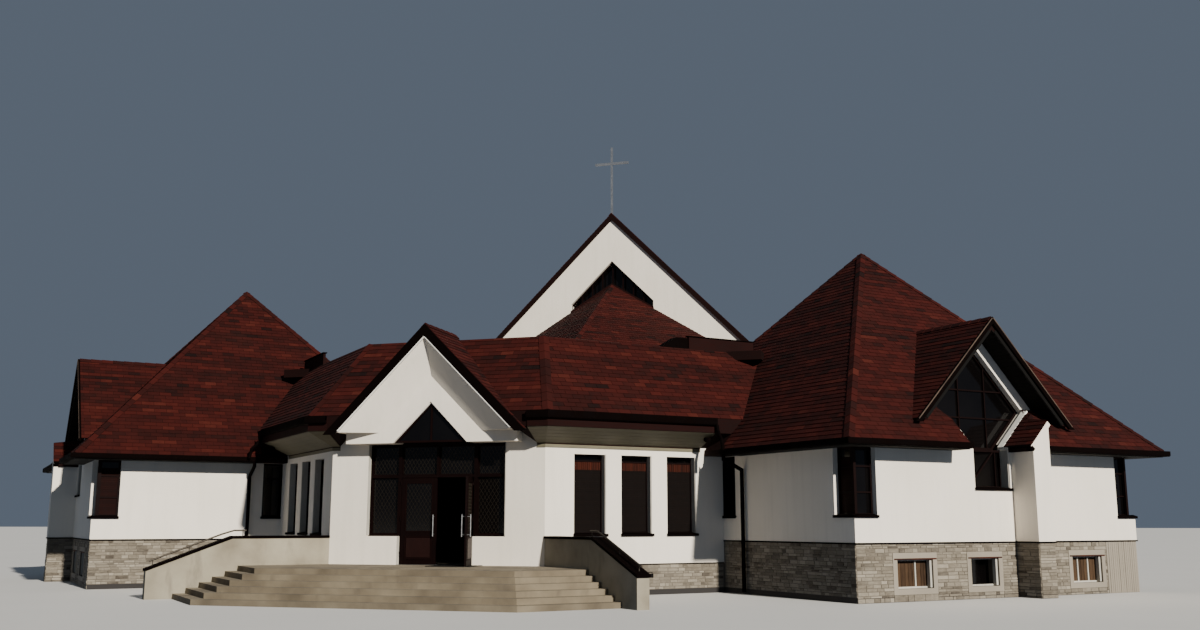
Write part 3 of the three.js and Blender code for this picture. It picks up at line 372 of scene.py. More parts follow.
class Finish:
    """A procedural material on Object coordinates, built up from a few named moves."""

    def __init__(self, name, roughness, metallic=0.0, gloss=0.5):
        """A plain material with its roughness, its share of metal and the strength of its shine."""
        self.material = bpy.data.materials.new(name)
        self.material.use_nodes = True
        self.nodes, self.links = self.material.node_tree.nodes, self.material.node_tree.links
        self.shader = self.nodes["Principled BSDF"]
        for socket, value in (("Roughness", roughness), ("Metallic", metallic), ("Specular IOR Level", gloss)):
            self.shader.inputs[socket].default_value = value
        self.place = self.nodes.new("ShaderNodeTexCoord").outputs["Object"]

    def noise(self, scale, detail=3.0, stretch=(1, 1, 1)):
        """Cloudy noise at a scale, from coordinates that are first multiplied by the stretch."""
        mapping = self.nodes.new("ShaderNodeMapping")
        mapping.inputs["Scale"].default_value = stretch
        self.links.new(self.place, mapping.inputs["Vector"])
        noise = self.nodes.new("ShaderNodeTexNoise")
        noise.inputs["Scale"].default_value = scale
        noise.inputs["Detail"].default_value = detail
        self.links.new(mapping.outputs["Vector"], noise.inputs["Vector"])
        return noise.outputs["Fac"]

    def tone(self):
        """The tone that the mesh carries at each point."""
        node = self.nodes.new("ShaderNodeAttribute")
        node.attribute_name = "tone"
        return node.outputs["Fac"]

    def span(self, value, side, low, high):
        """The value moved along a straight line: low and high bound the side From, or To, and the other runs 0 to 1."""
        node = self.nodes.new("ShaderNodeMapRange")
        node.inputs[f"{side} Min"].default_value, node.inputs[f"{side} Max"].default_value = low, high
        self.links.new(value, node.inputs["Value"])
        return node.outputs["Result"]

    def height(self, low, high):
        """0 below the low level, 1 above the high one."""
        split = self.nodes.new("ShaderNodeSeparateXYZ")
        self.links.new(self.place, split.inputs[0])
        return self.span(split.outputs["Z"], "From", low, high)

    def spread(self, value, low, high):
        """The value stretched so that low becomes 0 and high becomes 1."""
        return self.span(value, "From", low, high)

    def ramp(self, value, *stops):
        """Colours blended between stops, each a value and a picture colour."""
        node = self.nodes.new("ShaderNodeValToRGB")
        places = node.color_ramp.elements
        while len(places) < len(stops):
            places.new(0.5)
        for place, (at, colour) in zip(places, stops):
            place.position, place.color = at, tint(*colour)
        self.links.new(value, node.inputs["Fac"])
        return node.outputs["Color"]

    def feed(self, sockets, sources):
        """Each socket given its source: a number, a picture colour or another node's result."""
        for socket, source in zip(sockets, sources):
            if isinstance(source, tuple):
                socket.default_value = tint(*source)
            elif isinstance(source, (float, int)):
                socket.default_value = source
            else:
                self.links.new(source, socket)

    def mix(self, value, one, two):
        """The first colour where the value is 0, the second where it is 1, and a blend between."""
        node = self.nodes.new("ShaderNodeMix")
        node.data_type = "RGBA"
        self.feed((node.inputs[0], node.inputs[6], node.inputs[7]), (value, one, two))
        return node.outputs[2]

    def add(self, one, two, how="ADD"):
        """Two values added up."""
        node = self.nodes.new("ShaderNodeMath")
        node.operation = how
        self.feed(node.inputs, (one, two))
        return node.outputs[0]

    def times(self, value, factor):
        """The value times a factor."""
        return self.add(value, factor, "MULTIPLY")

    def colour(self, source):
        """The shader given its colour."""
        self.links.new(source, self.shader.inputs["Base Color"])
        return self

    def rough(self, value, low, high):
        """The shader's roughness, from low where the value is 0 to high where it is 1."""
        self.links.new(self.span(value, "To", low, high), self.shader.inputs["Roughness"])
        return self

    def bump(self, value, depth, strength=0.6):
        """A fine relief, the value times a depth in metres, and the finished material."""
        node = self.nodes.new("ShaderNodeBump")
        node.inputs["Distance"].default_value, node.inputs["Strength"].default_value = depth, strength
        self.links.new(value, node.inputs["Height"])
        self.links.new(node.outputs["Normal"], self.shader.inputs["Normal"])
        return self.material


def wall_render(name, lit, dull, foot=0.0):
    """Cream render: broad weather patches, faint runs downward, a fine float texture, a dark coat below its foot."""
    f = Finish(name, 0.85)
    patches = f.spread(f.noise(0.45, 4), 0.3, 0.7)
    runs = f.spread(f.noise(1.6, 5, (3.2, 3.2, 0.22)), 0.5, 0.8)
    colour = f.mix(f.times(runs, 0.1), f.mix(patches, lit, dull), (150, 142, 130))
    if foot:
        wander = f.times(f.noise(6, 3), 0.05)
        edge = f.add(f.height(foot - 0.03, foot + 0.04), wander)
        colour = f.mix(f.spread(edge, 0.4, 0.6), (38, 34, 32), colour)
    grain = f.add(f.noise(90, 4), f.times(f.noise(12, 3), 0.7))
    return f.colour(colour).bump(grain, 0.006)


def stone_face(name, light, mid, dark):
    """Stone: every block has its own tone, with a fine mottle and grey washed streaks."""
    f = Finish(name, 0.9)
    blend = f.add(f.tone(), f.times(f.noise(9, 5, (1, 1, 2.5)), 0.7))
    colour = f.ramp(f.spread(blend, 0.35, 1.35), (0.0, dark), (0.45, mid), (1.0, light))
    wash = f.spread(f.noise(1.3, 4, (1, 1, 3)), 0.45, 0.75)
    colour = f.mix(f.times(wash, 0.35), colour, (150, 142, 128))
    return f.colour(colour).bump(f.noise(40, 6), 0.012, 0.8)


def concrete(name, light, mid, dark):
    """Weathered concrete: cloudy patches, dark runs and pitting."""
    f = Finish(name, 0.9)
    clouds = f.spread(f.noise(1.1, 6), 0.28, 0.72)
    colour = f.ramp(clouds, (0.0, dark), (0.5, mid), (1.0, light))
    stain = f.spread(f.noise(3.2, 6, (1, 1, 0.35)), 0.58, 0.78)
    colour = f.mix(f.times(stain, 0.55), colour, (78, 70, 60))
    specks = f.spread(f.noise(150, 2), 0.35, 0.65)
    colour = f.mix(f.times(specks, 0.22), colour, (90, 82, 72))
    return f.colour(colour).bump(f.add(f.noise(60, 5), f.noise(8, 3)), 0.006)


def shingle_finish():
    """Mineral shingles: a dark to rust red by tab, granules, and grey bloom along the slope."""
    f = Finish("red_shingle", 0.9, gloss=0.15)
    value = f.add(f.tone(), f.times(f.noise(3.5, 4, (1, 1, 0.6)), 0.5))
    colour = f.ramp(f.spread(value, 0.2, 1.3), (0.0, (16, 4, 3)), (0.35, (38, 7, 4)),
                    (0.75, (54, 13, 8)), (1.0, (66, 24, 16)))
    bloom = f.spread(f.noise(0.7, 4), 0.5, 0.8)
    colour = f.mix(f.times(bloom, 0.3), colour, (44, 18, 13))
    return f.colour(colour).bump(f.noise(260, 2), 0.002, 0.9)


def boarded(name, light, dark, roughness=0.5, gloss=0.4, way=(9, 9, 0.6)):
    """Wood: grain noise stretched along the board, with a slow change between boards."""
    f = Finish(name, roughness, gloss=gloss)
    grain = f.noise(7, 7, way)
    slow = f.noise(1.1, 2)
    value = f.spread(f.add(grain, f.add(f.times(slow, 0.6), f.times(f.tone(), 0.5))), 0.7, 1.4)
    colour = f.ramp(value, (0.0, dark), (1.0, light))
    return f.colour(colour).rough(grain, roughness - 0.1, roughness + 0.2).bump(grain, 0.003, 0.5)


def sheet_metal(name, light, dark, roughness=0.45, metallic=0.25, gloss=0.3):
    """Painted sheet metal: thin dirt clouds, chalky patches and shallow dents."""
    f = Finish(name, roughness, metallic, gloss)
    clouds = f.spread(f.noise(2.3, 6), 0.3, 0.75)
    colour = f.ramp(clouds, (0.0, dark), (1.0, light))
    scuffs = f.spread(f.noise(22, 5), 0.62, 0.74)
    colour = f.mix(f.times(scuffs, 0.2), colour, (34, 26, 22))
    return f.colour(colour).rough(clouds, roughness - 0.1, roughness + 0.2).bump(f.noise(5, 2), 0.004, 0.4)


def glass(name, near, far):
    """Window glass: near black with a slow change of depth and a faint waviness in its shine."""
    f = Finish(name, 0.08, gloss=0.3)
    colour = f.ramp(f.spread(f.noise(0.8, 3), 0.3, 0.7), (0.0, near), (1.0, far))
    return f.colour(colour).bump(f.noise(1.7, 2), 0.004, 0.25)


def brushed(name, light, dark, roughness):
    """Brushed metal with fine scratches."""
    f = Finish(name, roughness, 0.9)
    fine = f.noise(140, 4, (1, 1, 0.08))
    colour = f.ramp(f.spread(fine, 0.3, 0.7), (0.0, dark), (1.0, light))
    return f.colour(colour).rough(fine, roughness - 0.08, roughness + 0.15).bump(fine, 0.0006, 0.4)


WALL = wall_render("cream_render", (242, 233, 219), (233, 224, 209))
WALL_FOOT = wall_render("cream_render_on_dark_foot", (242, 233, 219), (233, 224, 209), 0.13)
MORTAR = wall_render("grey_mortar_on_dark_foot", (112, 104, 92), (94, 86, 74), 0.13)
STONE = stone_face("grey_coursed_stone", (150, 141, 126), (114, 105, 91), (66, 58, 48))
CONCRETE = concrete("weathered_step_concrete", (136, 125, 104), (114, 103, 84), (84, 74, 58))
PARAPET = concrete("pale_parapet_concrete", (164, 156, 137), (148, 140, 121), (122, 113, 96))
SHINGLE = shingle_finish()
ROOF_BOARD = boarded("dark_red_roof_edge", (32, 9, 7), (18, 5, 4), 0.8, 0.1, (0.5, 0.5, 9))
SOFFIT = boarded("olive_soffit_board", (112, 106, 84), (84, 79, 62), 0.6, way=(0.7, 0.7, 8))
METAL = sheet_metal("dark_brown_sheet_metal", (9, 4, 3), (5, 2, 2), 0.85, 0.0, 0.03)
WOOD = boarded("mahogany_joinery", (20, 6, 5), (10, 3, 3), 0.6, 0.06)
PANEL_WOOD = boarded("red_mahogany_panel", (30, 8, 5), (16, 4, 3), 0.45, gloss=0.2)
PLANK = boarded("weathered_plank", (84, 64, 46), (34, 23, 15), 0.85, 0.15)
PALE_FRAME = boarded("grey_white_frame_board", (200, 196, 186), (146, 140, 128), 0.7)
GLASS = glass("dark_window_glass", (5, 4, 4), (11, 9, 9))
LEAD = brushed("dull_lattice_metal", (70, 62, 52), (34, 30, 26), 0.5)
STEEL = brushed("brushed_steel", (205, 206, 208), (150, 152, 155), 0.3)
RAIL_STEEL = brushed("dull_rail_steel", (84, 78, 70), (58, 53, 47), 0.55)
BLIND = boarded("folded_blind", (30, 9, 6), (16, 5, 4), 0.8, 0.1)
DARK_BLIND = boarded("dark_folded_blind", (14, 7, 5), (8, 4, 3), 0.8, 0.1)
VALANCE = boarded("brown_red_valance", (62, 24, 12), (26, 9, 5), 0.7, 0.1)
BLACK_BOARD = boarded("black_soffit_board", (12, 10, 9), (7, 6, 5), 0.7, 0.1, (0.6, 0.6, 8))
FLASHING = sheet_metal("weathered_flashing", (96, 80, 68), (54, 42, 35), 0.6, 0.2)
SURROUND = wall_render("smooth_grey_render", (150, 141, 127), (134, 125, 111))
WHITE_BOARD = wall_render("white_painted_board", (250, 246, 238), (240, 236, 226))
MAT = boarded("dark_door_mat", (20, 18, 16), (9, 8, 7), 0.9, 0.1)
RUSTY = sheet_metal("rusted_lintel", (70, 28, 14), (28, 14, 9), 0.8, 0.1)
FELT = concrete("red_brown_roofing_felt", (84, 50, 43), (70, 40, 34), (50, 28, 24))

# The finish of each node is the first whose starts of names hold its own
NODE_FINISHES = (
    (GLASS, ("wing_basement_panes", "entrance_glass", "front_glass", "wing_glass", "nave_glass", "chevron_glass")),
    (METAL, ("parapet_coping", "front_gutter", "wing_gutter", "wing_verge", "entrance_verge")),
    (ROOF_BOARD, ("front_roof", "wing_roof", "central_roof", "nave_roof")),
    (WOOD, ("entrance_frame", "door_right", "door_left")), (MORTAR, ("wing_base", "front_base")),
    (STEEL, ("cross", "door_pull")), (RAIL_STEEL, ("handrail",)), (CONCRETE, ("entrance_stairs",)),
    (PARAPET, ("parapet",)), (WALL_FOOT, ("nave_", "hall_wall")), (WALL, ("",)))
for node_name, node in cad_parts.items():
    finish = next(f for f, starts in NODE_FINISHES if node_name.startswith(starts))
    node.data.materials.clear()
    node.data.materials.append(finish)

# Shingles on every roof plane; outlines are rows of height, left end and right end, and two rows a step apart make a
# step in the outline
STEP, APRON_TOP, DORMER_HALF, VALLEY = 1e-4, 4.6, 2.6, -0.33
MEETS_DECK, MEETS_BAND, MEETS_BAND_TOP = -1.527, 0.4035, -1.3375
dormer_a = DORMER_U - WING_MID_U


def inset(z):
    """How far a pavilion's roof has drawn in at a height: its rise over the eave by the pitch."""
    return (z - WING_EAVE) / WING_PITCH


def wing_face(away, rows):
    """One side of a pavilion's roof, a plane from the eave up, and the outline on it."""
    middle = grid(WING_MID_U, WING_MID_V, WING_EAVE)
    return slope(middle + away * WING_EDGE, away, WING_PITCH), rises(WING_PITCH, rows, WING_EAVE)


def row(z, left=None, right=None):
    """A row of an outline; where an end isn't given, it lies on the hip, half the roof's width at that height away."""
    hip = WING_EDGE - inset(z)
    return [z, -hip if left is None else left, hip if right is None else right]


wing_planes = [
    wing_face(-V, [row(WING_EAVE, right=dormer_a - NOTCH), row(DORMER_FOOT, right=dormer_a - NOTCH),
                   row(DORMER_FOOT + STEP, right=dormer_a - DORMER_HALF), row(DORMER_RIDGE, right=dormer_a)]),
    wing_face(-V, [row(WING_EAVE, 0.25, 0.296), row(3.71, 0.296, 0.3)]),
    wing_face(-V, [row(WING_EAVE, 0.885), row(4.08, 0.885), row(4.08 + STEP, dormer_a + 1.07),
                   row(DORMER_FOOT, dormer_a + 1.19), row(DORMER_FOOT + STEP, dormer_a + DORMER_HALF),
                   row(DORMER_RIDGE, dormer_a)]),
    wing_face(-V, [row(DORMER_FOOT, dormer_a - 2.28, dormer_a - NOTCH),
                   row(APRON_TOP, dormer_a - 1.89, dormer_a - 1.54)]),
    wing_face(-V, [row(DORMER_FOOT, dormer_a + 1.19, dormer_a + 2.28),
                   row(APRON_TOP, dormer_a + 1.54, dormer_a + 1.89)]),
    wing_face(-V, [row(DORMER_RIDGE), row(WING_APEX)]),
    wing_face(U, [row(WING_EAVE), row(WING_APEX)]),
    wing_face(V, [row(WING_EAVE, right=MEETS_DECK), row(BAND_TOP, right=MEETS_DECK + inset(BAND_TOP)),
                  row(BAND_TOP + STEP), row(WING_APEX)]),
    wing_face(-U, [row(WING_EAVE, MEETS_BAND), row(BAND_EAVE, MEETS_BAND), row(BAND_TOP, MEETS_BAND_TOP),
                   row(BAND_TOP + STEP), row(WING_APEX)]),
]
dormer_rows = rises(1, [[z, 0, VALLEY + inset(z)] for z in (DORMER_FOOT, DORMER_RIDGE)], DORMER_FOOT)
dormer_planes = [
    (slope(grid(DORMER_U + DORMER_HALF, DORMER_FRONT, DORMER_FOOT), U, 1), dormer_rows),
    (slope(grid(DORMER_U - DORMER_HALF, DORMER_FRONT, DORMER_FOOT), -U, 1), dormer_rows[:, [0, 2, 1]] * (1, -1, -1)),
]
make_pair("wing_shingles", [shingles(face, rows, 10 + k)
                            for k, (face, rows) in enumerate(wing_planes + dormer_planes)], SHINGLE)

band_planes = [
    (slope(grid(0, FRONT_V - BAND_REACH, BAND_EAVE), -V, BAND_PITCH),
     rises(BAND_PITCH, [[BAND_EAVE, 1.737, 7.4345], [BAND_TOP, 2.4582, 9.3395]], BAND_EAVE)),
    (slope(plan(0, -BAND_REACH, BAND_EAVE), -Y, BAND_PITCH),
     rises(BAND_PITCH, [[BAND_EAVE, 2.21, BAND_HIP_FOOT], [BAND_TOP, 0.135, BAND_HIP_TOP]], BAND_EAVE)),
    (slope(plan(GABLE_RIDGE - GABLE_FOOT, GABLE_FRONT, GABLE_FOOT), X, 1),
     rises(1, [[GABLE_FOOT, 0, 0.12], [BAND_EAVE, 0, 0.12], [BAND_TOP, 0, 1.861], [GABLE_RIDGE, 0, 1.94]],
           GABLE_FOOT)),
]
make_pair("front_shingles", [shingles(face, rows, 30 + k) for k, (face, rows) in enumerate(band_planes)],
          SHINGLE)

nave_plane = slope(plan(NAVE_EDGE, NAVE_FRONT, NAVE_RIDGE - NAVE_EDGE), X, 1)
nave_rows = rises(1, [[NAVE_RIDGE - NAVE_EDGE, 0, NAVE_BACK - NAVE_FRONT], [NAVE_RIDGE, 0, NAVE_BACK - NAVE_FRONT]],
                  NAVE_RIDGE - NAVE_EDGE)
make_pair("nave_shingles", shingles(nave_plane, nave_rows, 40), SHINGLE)

centre_reach = (CENTRE_APEX - BAND_TOP) / CENTRE_SLOPE
centre_start = (NAVE_WALL_Y - centre_reach) / ROOT2
centre_run = centre_reach / ROOT2
centre_pitch = (CENTRE_APEX - BAND_TOP) / centre_run
centre_plane = slope(grid(0, centre_start, BAND_TOP), -V, centre_pitch)
centre_rows = rises(centre_pitch, [[BAND_TOP, centre_start, centre_start + 2 * centre_run],
                                   [CENTRE_APEX, centre_start + centre_run, centre_start + centre_run]], BAND_TOP)
make_pair("central_shingles", shingles(centre_plane, centre_rows, 50), SHINGLE)


# Caps on hips and ridges
def wing_hip(a, b, z, away_one, away_two, seed):
    """Caps on a hip of a pavilion's roof, from a height up to its top; a and b, each 1 or -1, say which hip."""
    half = WING_EDGE - inset(z)
    return caps(grid(WING_MID_U + a * half, WING_MID_V + b * half, z), grid(WING_MID_U, WING_MID_V, WING_APEX),
                away_one, away_two, WING_PITCH, seed)


make_pair("wing_hip_caps", [
    wing_hip(-1, -1, WING_EAVE, -U, -V, 61), wing_hip(1, -1, WING_EAVE, U, -V, 62), wing_hip(1, 1, WING_EAVE, U, V, 63),
    wing_hip(-1, 1, BAND_TOP, -U, V, 64),
    caps(grid(DORMER_U, DORMER_FRONT, DORMER_RIDGE), grid(DORMER_U, DORMER_BACK, DORMER_RIDGE), U, -U, 1, 65)],
    SHINGLE)
make_pair("front_hip_caps", caps(
    plan(BAND_HIP_FOOT, -BAND_REACH, BAND_EAVE), plan(BAND_HIP_TOP, BAND_RUN - BAND_REACH, BAND_TOP), -Y, -V,
    BAND_PITCH, 66), SHINGLE)
make("ridge_caps", [
    caps(plan(0, GABLE_FRONT, GABLE_RIDGE), plan(0, GABLE_BACK, GABLE_RIDGE), X, -X, 1, 67),
    caps(plan(0, NAVE_WALL_Y - centre_reach, BAND_TOP), plan(0, NAVE_WALL_Y, CENTRE_APEX), -V, -U, centre_pitch, 68),
    caps(plan(0, NAVE_FRONT, NAVE_RIDGE), plan(0, NAVE_BACK, NAVE_RIDGE), X, -X, 1, 69)], SHINGLE)

# Stone on the bases, in panels of first and last place along a wall, foot and top, which leave out the basement windows
BASE_BACK, BASE_TOP, FRONT_FOOT = 0.02, 1.31, 0.13
BUTTRESS_LEFT, BUTTRESS_RIGHT, BUTTRESS_OUT = 12.4, 12.94, 0.68
base_faces = [
    (upright(grid(0, WING_V + BASE_BACK), -V), [
        (7.3, BUTTRESS_LEFT, 1.1, BASE_TOP), (BUTTRESS_RIGHT, 15.66, 1.1, BASE_TOP), (7.3, 8.37, 0.0, 1.1),
        (9.73, 10.7, 0.0, 1.1), (11.88, BUTTRESS_LEFT, 0.0, 1.1), (BUTTRESS_RIGHT, 14.23, 0.0, 1.1),
        (8.37, 9.73, 0.0, 0.16), (10.7, 11.88, 0.0, 0.16), (14.23, 15.59, 0.0, 0.16), (15.59, 15.66, 0.0, 1.1)]),
    (upright(grid(WING_U + BASE_BACK, 0), -U), [(2.05, 7.16, FRONT_FOOT, BASE_TOP)]),
    (upright(grid(WING_U_END - BASE_BACK, 0), U), [(-7.16, 2.4, 0.0, BASE_TOP)]),
    (upright(grid(0, WING_V_END - BASE_BACK), V), [(-16.86, -13.02, 0.0, BASE_TOP)]),
    (upright(grid(0, WING_V - BUTTRESS_OUT), -V), [(BUTTRESS_LEFT, BUTTRESS_RIGHT, 0.0, BASE_TOP)]),
    (upright(grid(BUTTRESS_LEFT, 0), -U), [(7.16, 7.86, 0.0, BASE_TOP)]),
    (upright(grid(BUTTRESS_RIGHT, 0), U), [(-7.86, -7.16, 0.0, BASE_TOP)]),
]
make_pair("wing_base_stones", [stones(face, panels, 80 + k) for k, (face, panels) in enumerate(base_faces)],
          STONE)
make_pair("front_base_stones", stones(upright(grid(0, FRONT_V), -V), [(2.36, 7.24, 0.13, 0.745)], 90, 0.003),
          STONE)

# Gutters and fascia: profiles of reach and height, carried along the eaves
GUTTER = np.array([(0.0, 0.0), (0.0, -1.0), (0.8, -1.0), (0.95, -0.9), (1.0, -0.7), (1.0, 0.0), (0.85, 0.0),
                   (0.85, -0.09), (0.9, -0.12), (0.9, -0.55), (0.12, -0.6), (0.12, 0.0)])
# Each station of an eave gives the place at a reach from the wall; the eaves end where they meet another roof
BAND_START, BAND_END, INNER_END, OUTER_START, OUTER_END = 2.68, 6.56, -2.9235, 12.98, 13.06
band_stations = [lambda r: plan(BAND_START, -r), lambda r: plan(SPLAY_X + (ROOT2 - 1) * r, -r),
                 lambda r: grid(BAND_END, FRONT_V - r)]
inner_stations = [lambda r: grid(WING_U - r, INNER_END), lambda r: grid(WING_U - r, WING_V - r),
                  lambda r: grid(DORMER_U - NOTCH, WING_V - r)]
outer_stations = [lambda r: grid(OUTER_START, WING_V - r), lambda r: grid(WING_U_END + r, WING_V - r),
                  lambda r: grid(WING_U_END + r, WING_V_END + r), lambda r: grid(OUTER_END + r, WING_V_END + r)]


def eave_run(profile, stations, level):
    """A profile of reach from the wall and height over the eave's level, set out at every station of an eave."""
    return tube(np.array([[station(r) + Z * (level + h) for r, h in profile] for station in stations]))


band_gutter = GUTTER * (0.094, 0.19) + (0.766, 0)
wing_gutter = GUTTER * (0.1197, 0.14) + (0.5803, 0)
PIPE_V = -3.01
pipe_path = [grid(u, PIPE_V, z) for u, z in ((6.64, 3.52), (6.64, 3.38), (7.2, 3.12), (7.2, 0.06))]
make_pair("front_eave_gutter", eave_run(band_gutter, band_stations, BAND_EAVE), METAL, ["front_gutter"])
make_pair("wing_eave_gutter", fix_turn(eave_run(wing_gutter, inner_stations, WING_EAVE)), METAL)
make_pair("wing_downpipe", carried(circle(0.05), pipe_path, V), METAL, ["wing_gutter_inner"])
make_pair("wing_rear_gutter", eave_run(wing_gutter, outer_stations, WING_EAVE), METAL,
          ["wing_gutter_outer"])

# Boards under the eave of the entrance block; each profile runs round its section. The soffit rises 350 mm over its
# width and has a groove at every board edge
SOFFIT_REACH = 0.735
fascia = [(0.7405, -0.38), (0.764, -0.38), (0.764, -0.02), (0.7405, -0.02)]
groove = [(edge + d, -0.73 + 0.35 * (edge + d) / 0.734 - (0.004 if d == 0 else 0.016))
          for edge in np.linspace(0.02, SOFFIT_REACH, 6) for d in (-0.006, 0.0, 0.006)]
soffit_profile = [(SOFFIT_REACH, -0.37), (0.02, -0.71)] + groove[2:-2]
# Painted shadow: a dark bead in place of the shadow gap at the soffit's inner edge
shadow_bead = [(-0.01, -0.756), (0.03, -0.756), (0.03, -0.722), (-0.01, -0.722)]
# Painted shadow: an olive board along the wall below the bead, standing for the eave's shadow on the wall
eave_shadow_band = [(-0.01, -0.835), (0.022, -0.835), (0.022, -0.75), (-0.01, -0.75)]
for board_name, board, board_finish in (
        ("front_fascia", fascia, ROOF_BOARD), ("front_soffit", soffit_profile, SOFFIT),
        ("front_soffit_shadow_bead", shadow_bead, ROOF_BOARD), ("front_eave_shadow_band", eave_shadow_band, SOFFIT)):
    make_pair(board_name, eave_run(board, band_stations, BAND_EAVE), board_finish)

# Windows: frames with their bars, panes, blinds, sills and reveal boards set into the openings
def oblong(a0, a1, b0, b1):
    """The four corners of an upright rectangle, anticlockwise."""
    return [(a0, b0), (a1, b0), (a1, b1), (a0, b1)]


def window(face, a0, a1, b0, b1, depth, upright_bars=(), level_bars=(), width=0.055, bar=0.036, thick=0.05):
    """A frame ring set back from the face by the depth, with upright bars at the given places and level ones at the
    given heights, each bar a little thinner than the ring."""
    back, front = -depth - thick, -depth
    foot, top, half = b0 + width / 2, b1 - width / 2, bar / 2
    rows = [(x - half, x + half, foot, top, back + 0.006, front - 0.004) for x in upright_bars]
    rows += [(a0 + width / 2, a1 - width / 2, z - half, z + half, back + 0.008, front - 0.006) for z in level_bars]
    frame_ring = ring(face, oblong(a0, a1, b0, b1), width, back, front)
    return together(frame_ring, blocks(face, rows, 0.004)) if rows else frame_ring


def pane(face, a0, a1, b0, b1, depth):
    """A sheet of glass 8 mm thick behind a depth, its edges 20 mm within an opening."""
    lap, thick = 0.02, 0.008
    return blocks(face, [(a0 + lap, a1 - lap, b0 + lap, b1 - lap, -depth - thick, -depth)])


def slats(face, a0, a1, b0, b1, c, pitch=0.03, thick=0.008):
    """A blind of level slats at an even pitch, each a block whose foot stands out further than its head."""
    low = np.arange(b0, b1 - pitch / 2, pitch)
    a = np.array([a0, a1])[None, :, None, None]
    b = (low[:, None] + np.array([0.001, pitch - 0.001]))[:, None, :, None]
    c = np.array([[c + thick * 0.3, c + thick], [c, c + thick * 0.5]])[None, None]
    tones = 0.5 + 0.2 * np.sin(np.arange(len(low)) * 1.7)
    return six_sided(placed(face, *np.broadcast_arrays(a, b, c)), tones)


def planks(face, a0, a1, b0, b1, c0, c1, seed, width=0.1, level=False):
    """Boards side by side over an oblong, with seeded widths and depths."""
    chance = np.random.default_rng(seed)
    reach = (b1 - b0) if level else (a1 - a0)
    count = max(1, round(reach / width))
    ends = np.cumsum(np.concatenate([[0], chance.uniform(0.8, 1.2, count)]))
    ends = ends / ends[-1] * reach
    first, last, top = ends[:-1] + 0.002, ends[1:] - 0.002, c1 - chance.uniform(0, 0.006, count)
    same = np.ones(count)
    rows = ((a0 * same, a1 * same, b0 + first, b0 + last, c0 * same, top) if level
            else (a0 + first, a0 + last, b0 * same, b1 * same, c0 * same, top))
    return blocks(face, np.column_stack(rows), 0.003, np.clip(chance.normal(0.5, 0.25, count), 0, 1))


def sill(face, a0, a1, b, depth):
    """A sheet sill along the foot of an opening: the section falls outward and turns down at its front edge."""
    reach = 0.045
    section = [(-depth, b + 0.04), (-depth, b + 0.03), (reach - 0.006, b - 0.002), (reach - 0.006, b - 0.05),
               (reach, b - 0.052), (reach, b + 0.006)]
    return prism_ends(face, section, a0, a1)


def prism_ends(face, section, a0, a1):
    """A section in out and up, carried along the wall from a0 to a1."""
    origin, along, up, out = face
    return fix_turn(prism((origin, out, up, along), section, a0, a1))


front_face = upright(grid(0, FRONT_V), -V)
wing_front = upright(grid(0, WING_V), -V)
wing_inner = upright(grid(WING_U, 0), -U)
wing_outer = upright(grid(WING_U_END, 0), U)
wing_rear = upright(grid(0, WING_V_END), V)
entrance = upright(plan(0, 0), -Y)

FRONT_SILL, FRONT_HEAD = 1.5, 3.46
WING_SILL, WING_HEAD, CORNER = 1.945, 3.5, 0.68

front_windows = [(2.842, 3.74), (4.186, 5.072), (5.537, 6.42)]
FRONT_SET, VALANCE_FOOT, VALANCE_TOP, TRANSOM = 0.17, 3.08, 3.285, 3.3
make_pair("front_window_frames", [
    window(front_face, a0, a1, FRONT_SILL, FRONT_HEAD, FRONT_SET, (), (TRANSOM,), 0.05) for a0, a1 in front_windows],
    WOOD)
make_pair("front_window_panes", [
    pane(front_face, a0, a1, FRONT_SILL, FRONT_HEAD, FRONT_SET + 0.044) for a0, a1 in front_windows], GLASS)
make_pair("front_window_blinds", [
    slats(front_face, a0 + 0.05, a1 - 0.05, FRONT_SILL + 0.06, VALANCE_FOOT, -FRONT_SET - 0.043, 0.045, 0.01)
    for a0, a1 in front_windows], DARK_BLIND)
make_pair("front_window_valances", [
    planks(front_face, a0 + 0.05, a1 - 0.05, VALANCE_FOOT, VALANCE_TOP, -FRONT_SET - 0.043, -FRONT_SET - 0.024,
           120 + k, 0.055) for k, (a0, a1) in enumerate(front_windows)], VALANCE)
make_pair("front_window_sills", [
    sill(front_face, a0 - 0.02, a1 + 0.05, FRONT_SILL, FRONT_SET) for a0, a1 in front_windows],
    METAL)
make_pair("front_reveal_boards", blocks(front_face, [
    (a1 - 0.028, a1 - 0.001, FRONT_SILL + 0.012, FRONT_HEAD, -FRONT_SET, -0.012) for a0, a1 in front_windows], 0.004),
    PALE_FRAME)

# Corner windows of a pavilion: each has a leg in either wall, named by face, first and last place along it and the end
# at the corner, 1 for the first and -1 for the last. The frames stand behind the wall's face and meet there in a post
CORNER_SET, POST_HALF, CORNER_BARS, NARROW_BAR = 0.14, 0.045, (2.47, 3.06), 3.06
BLIND_SPANS = ((2.0, 2.45), (2.49, 3.04), (3.08, 3.3))
corner_legs = [(wing_front, WING_U, WING_U + CORNER, 1), (wing_inner, -WING_V - CORNER, -WING_V, -1),
               (wing_front, WING_U_END - CORNER, WING_U_END, -1), (wing_outer, WING_V, WING_V + CORNER, 1),
               (wing_outer, WING_V_END - CORNER, WING_V_END, -1), (wing_rear, -WING_U_END, -WING_U_END + CORNER, 1)]
cut_back = [(face, a0 + (CORNER_SET if end > 0 else 0), a1 - (CORNER_SET if end < 0 else 0))
            for face, a0, a1, end in corner_legs]
posts = [(WING_U + CORNER_SET, WING_V + CORNER_SET), (WING_U_END - CORNER_SET, WING_V + CORNER_SET),
         (WING_U_END - CORNER_SET, WING_V_END - CORNER_SET)]
make_pair("corner_window_frames", [
    window(face, a0, a1, WING_SILL, WING_HEAD, CORNER_SET, (), CORNER_BARS, 0.05, 0.04) for face, a0, a1 in cut_back],
    WOOD)
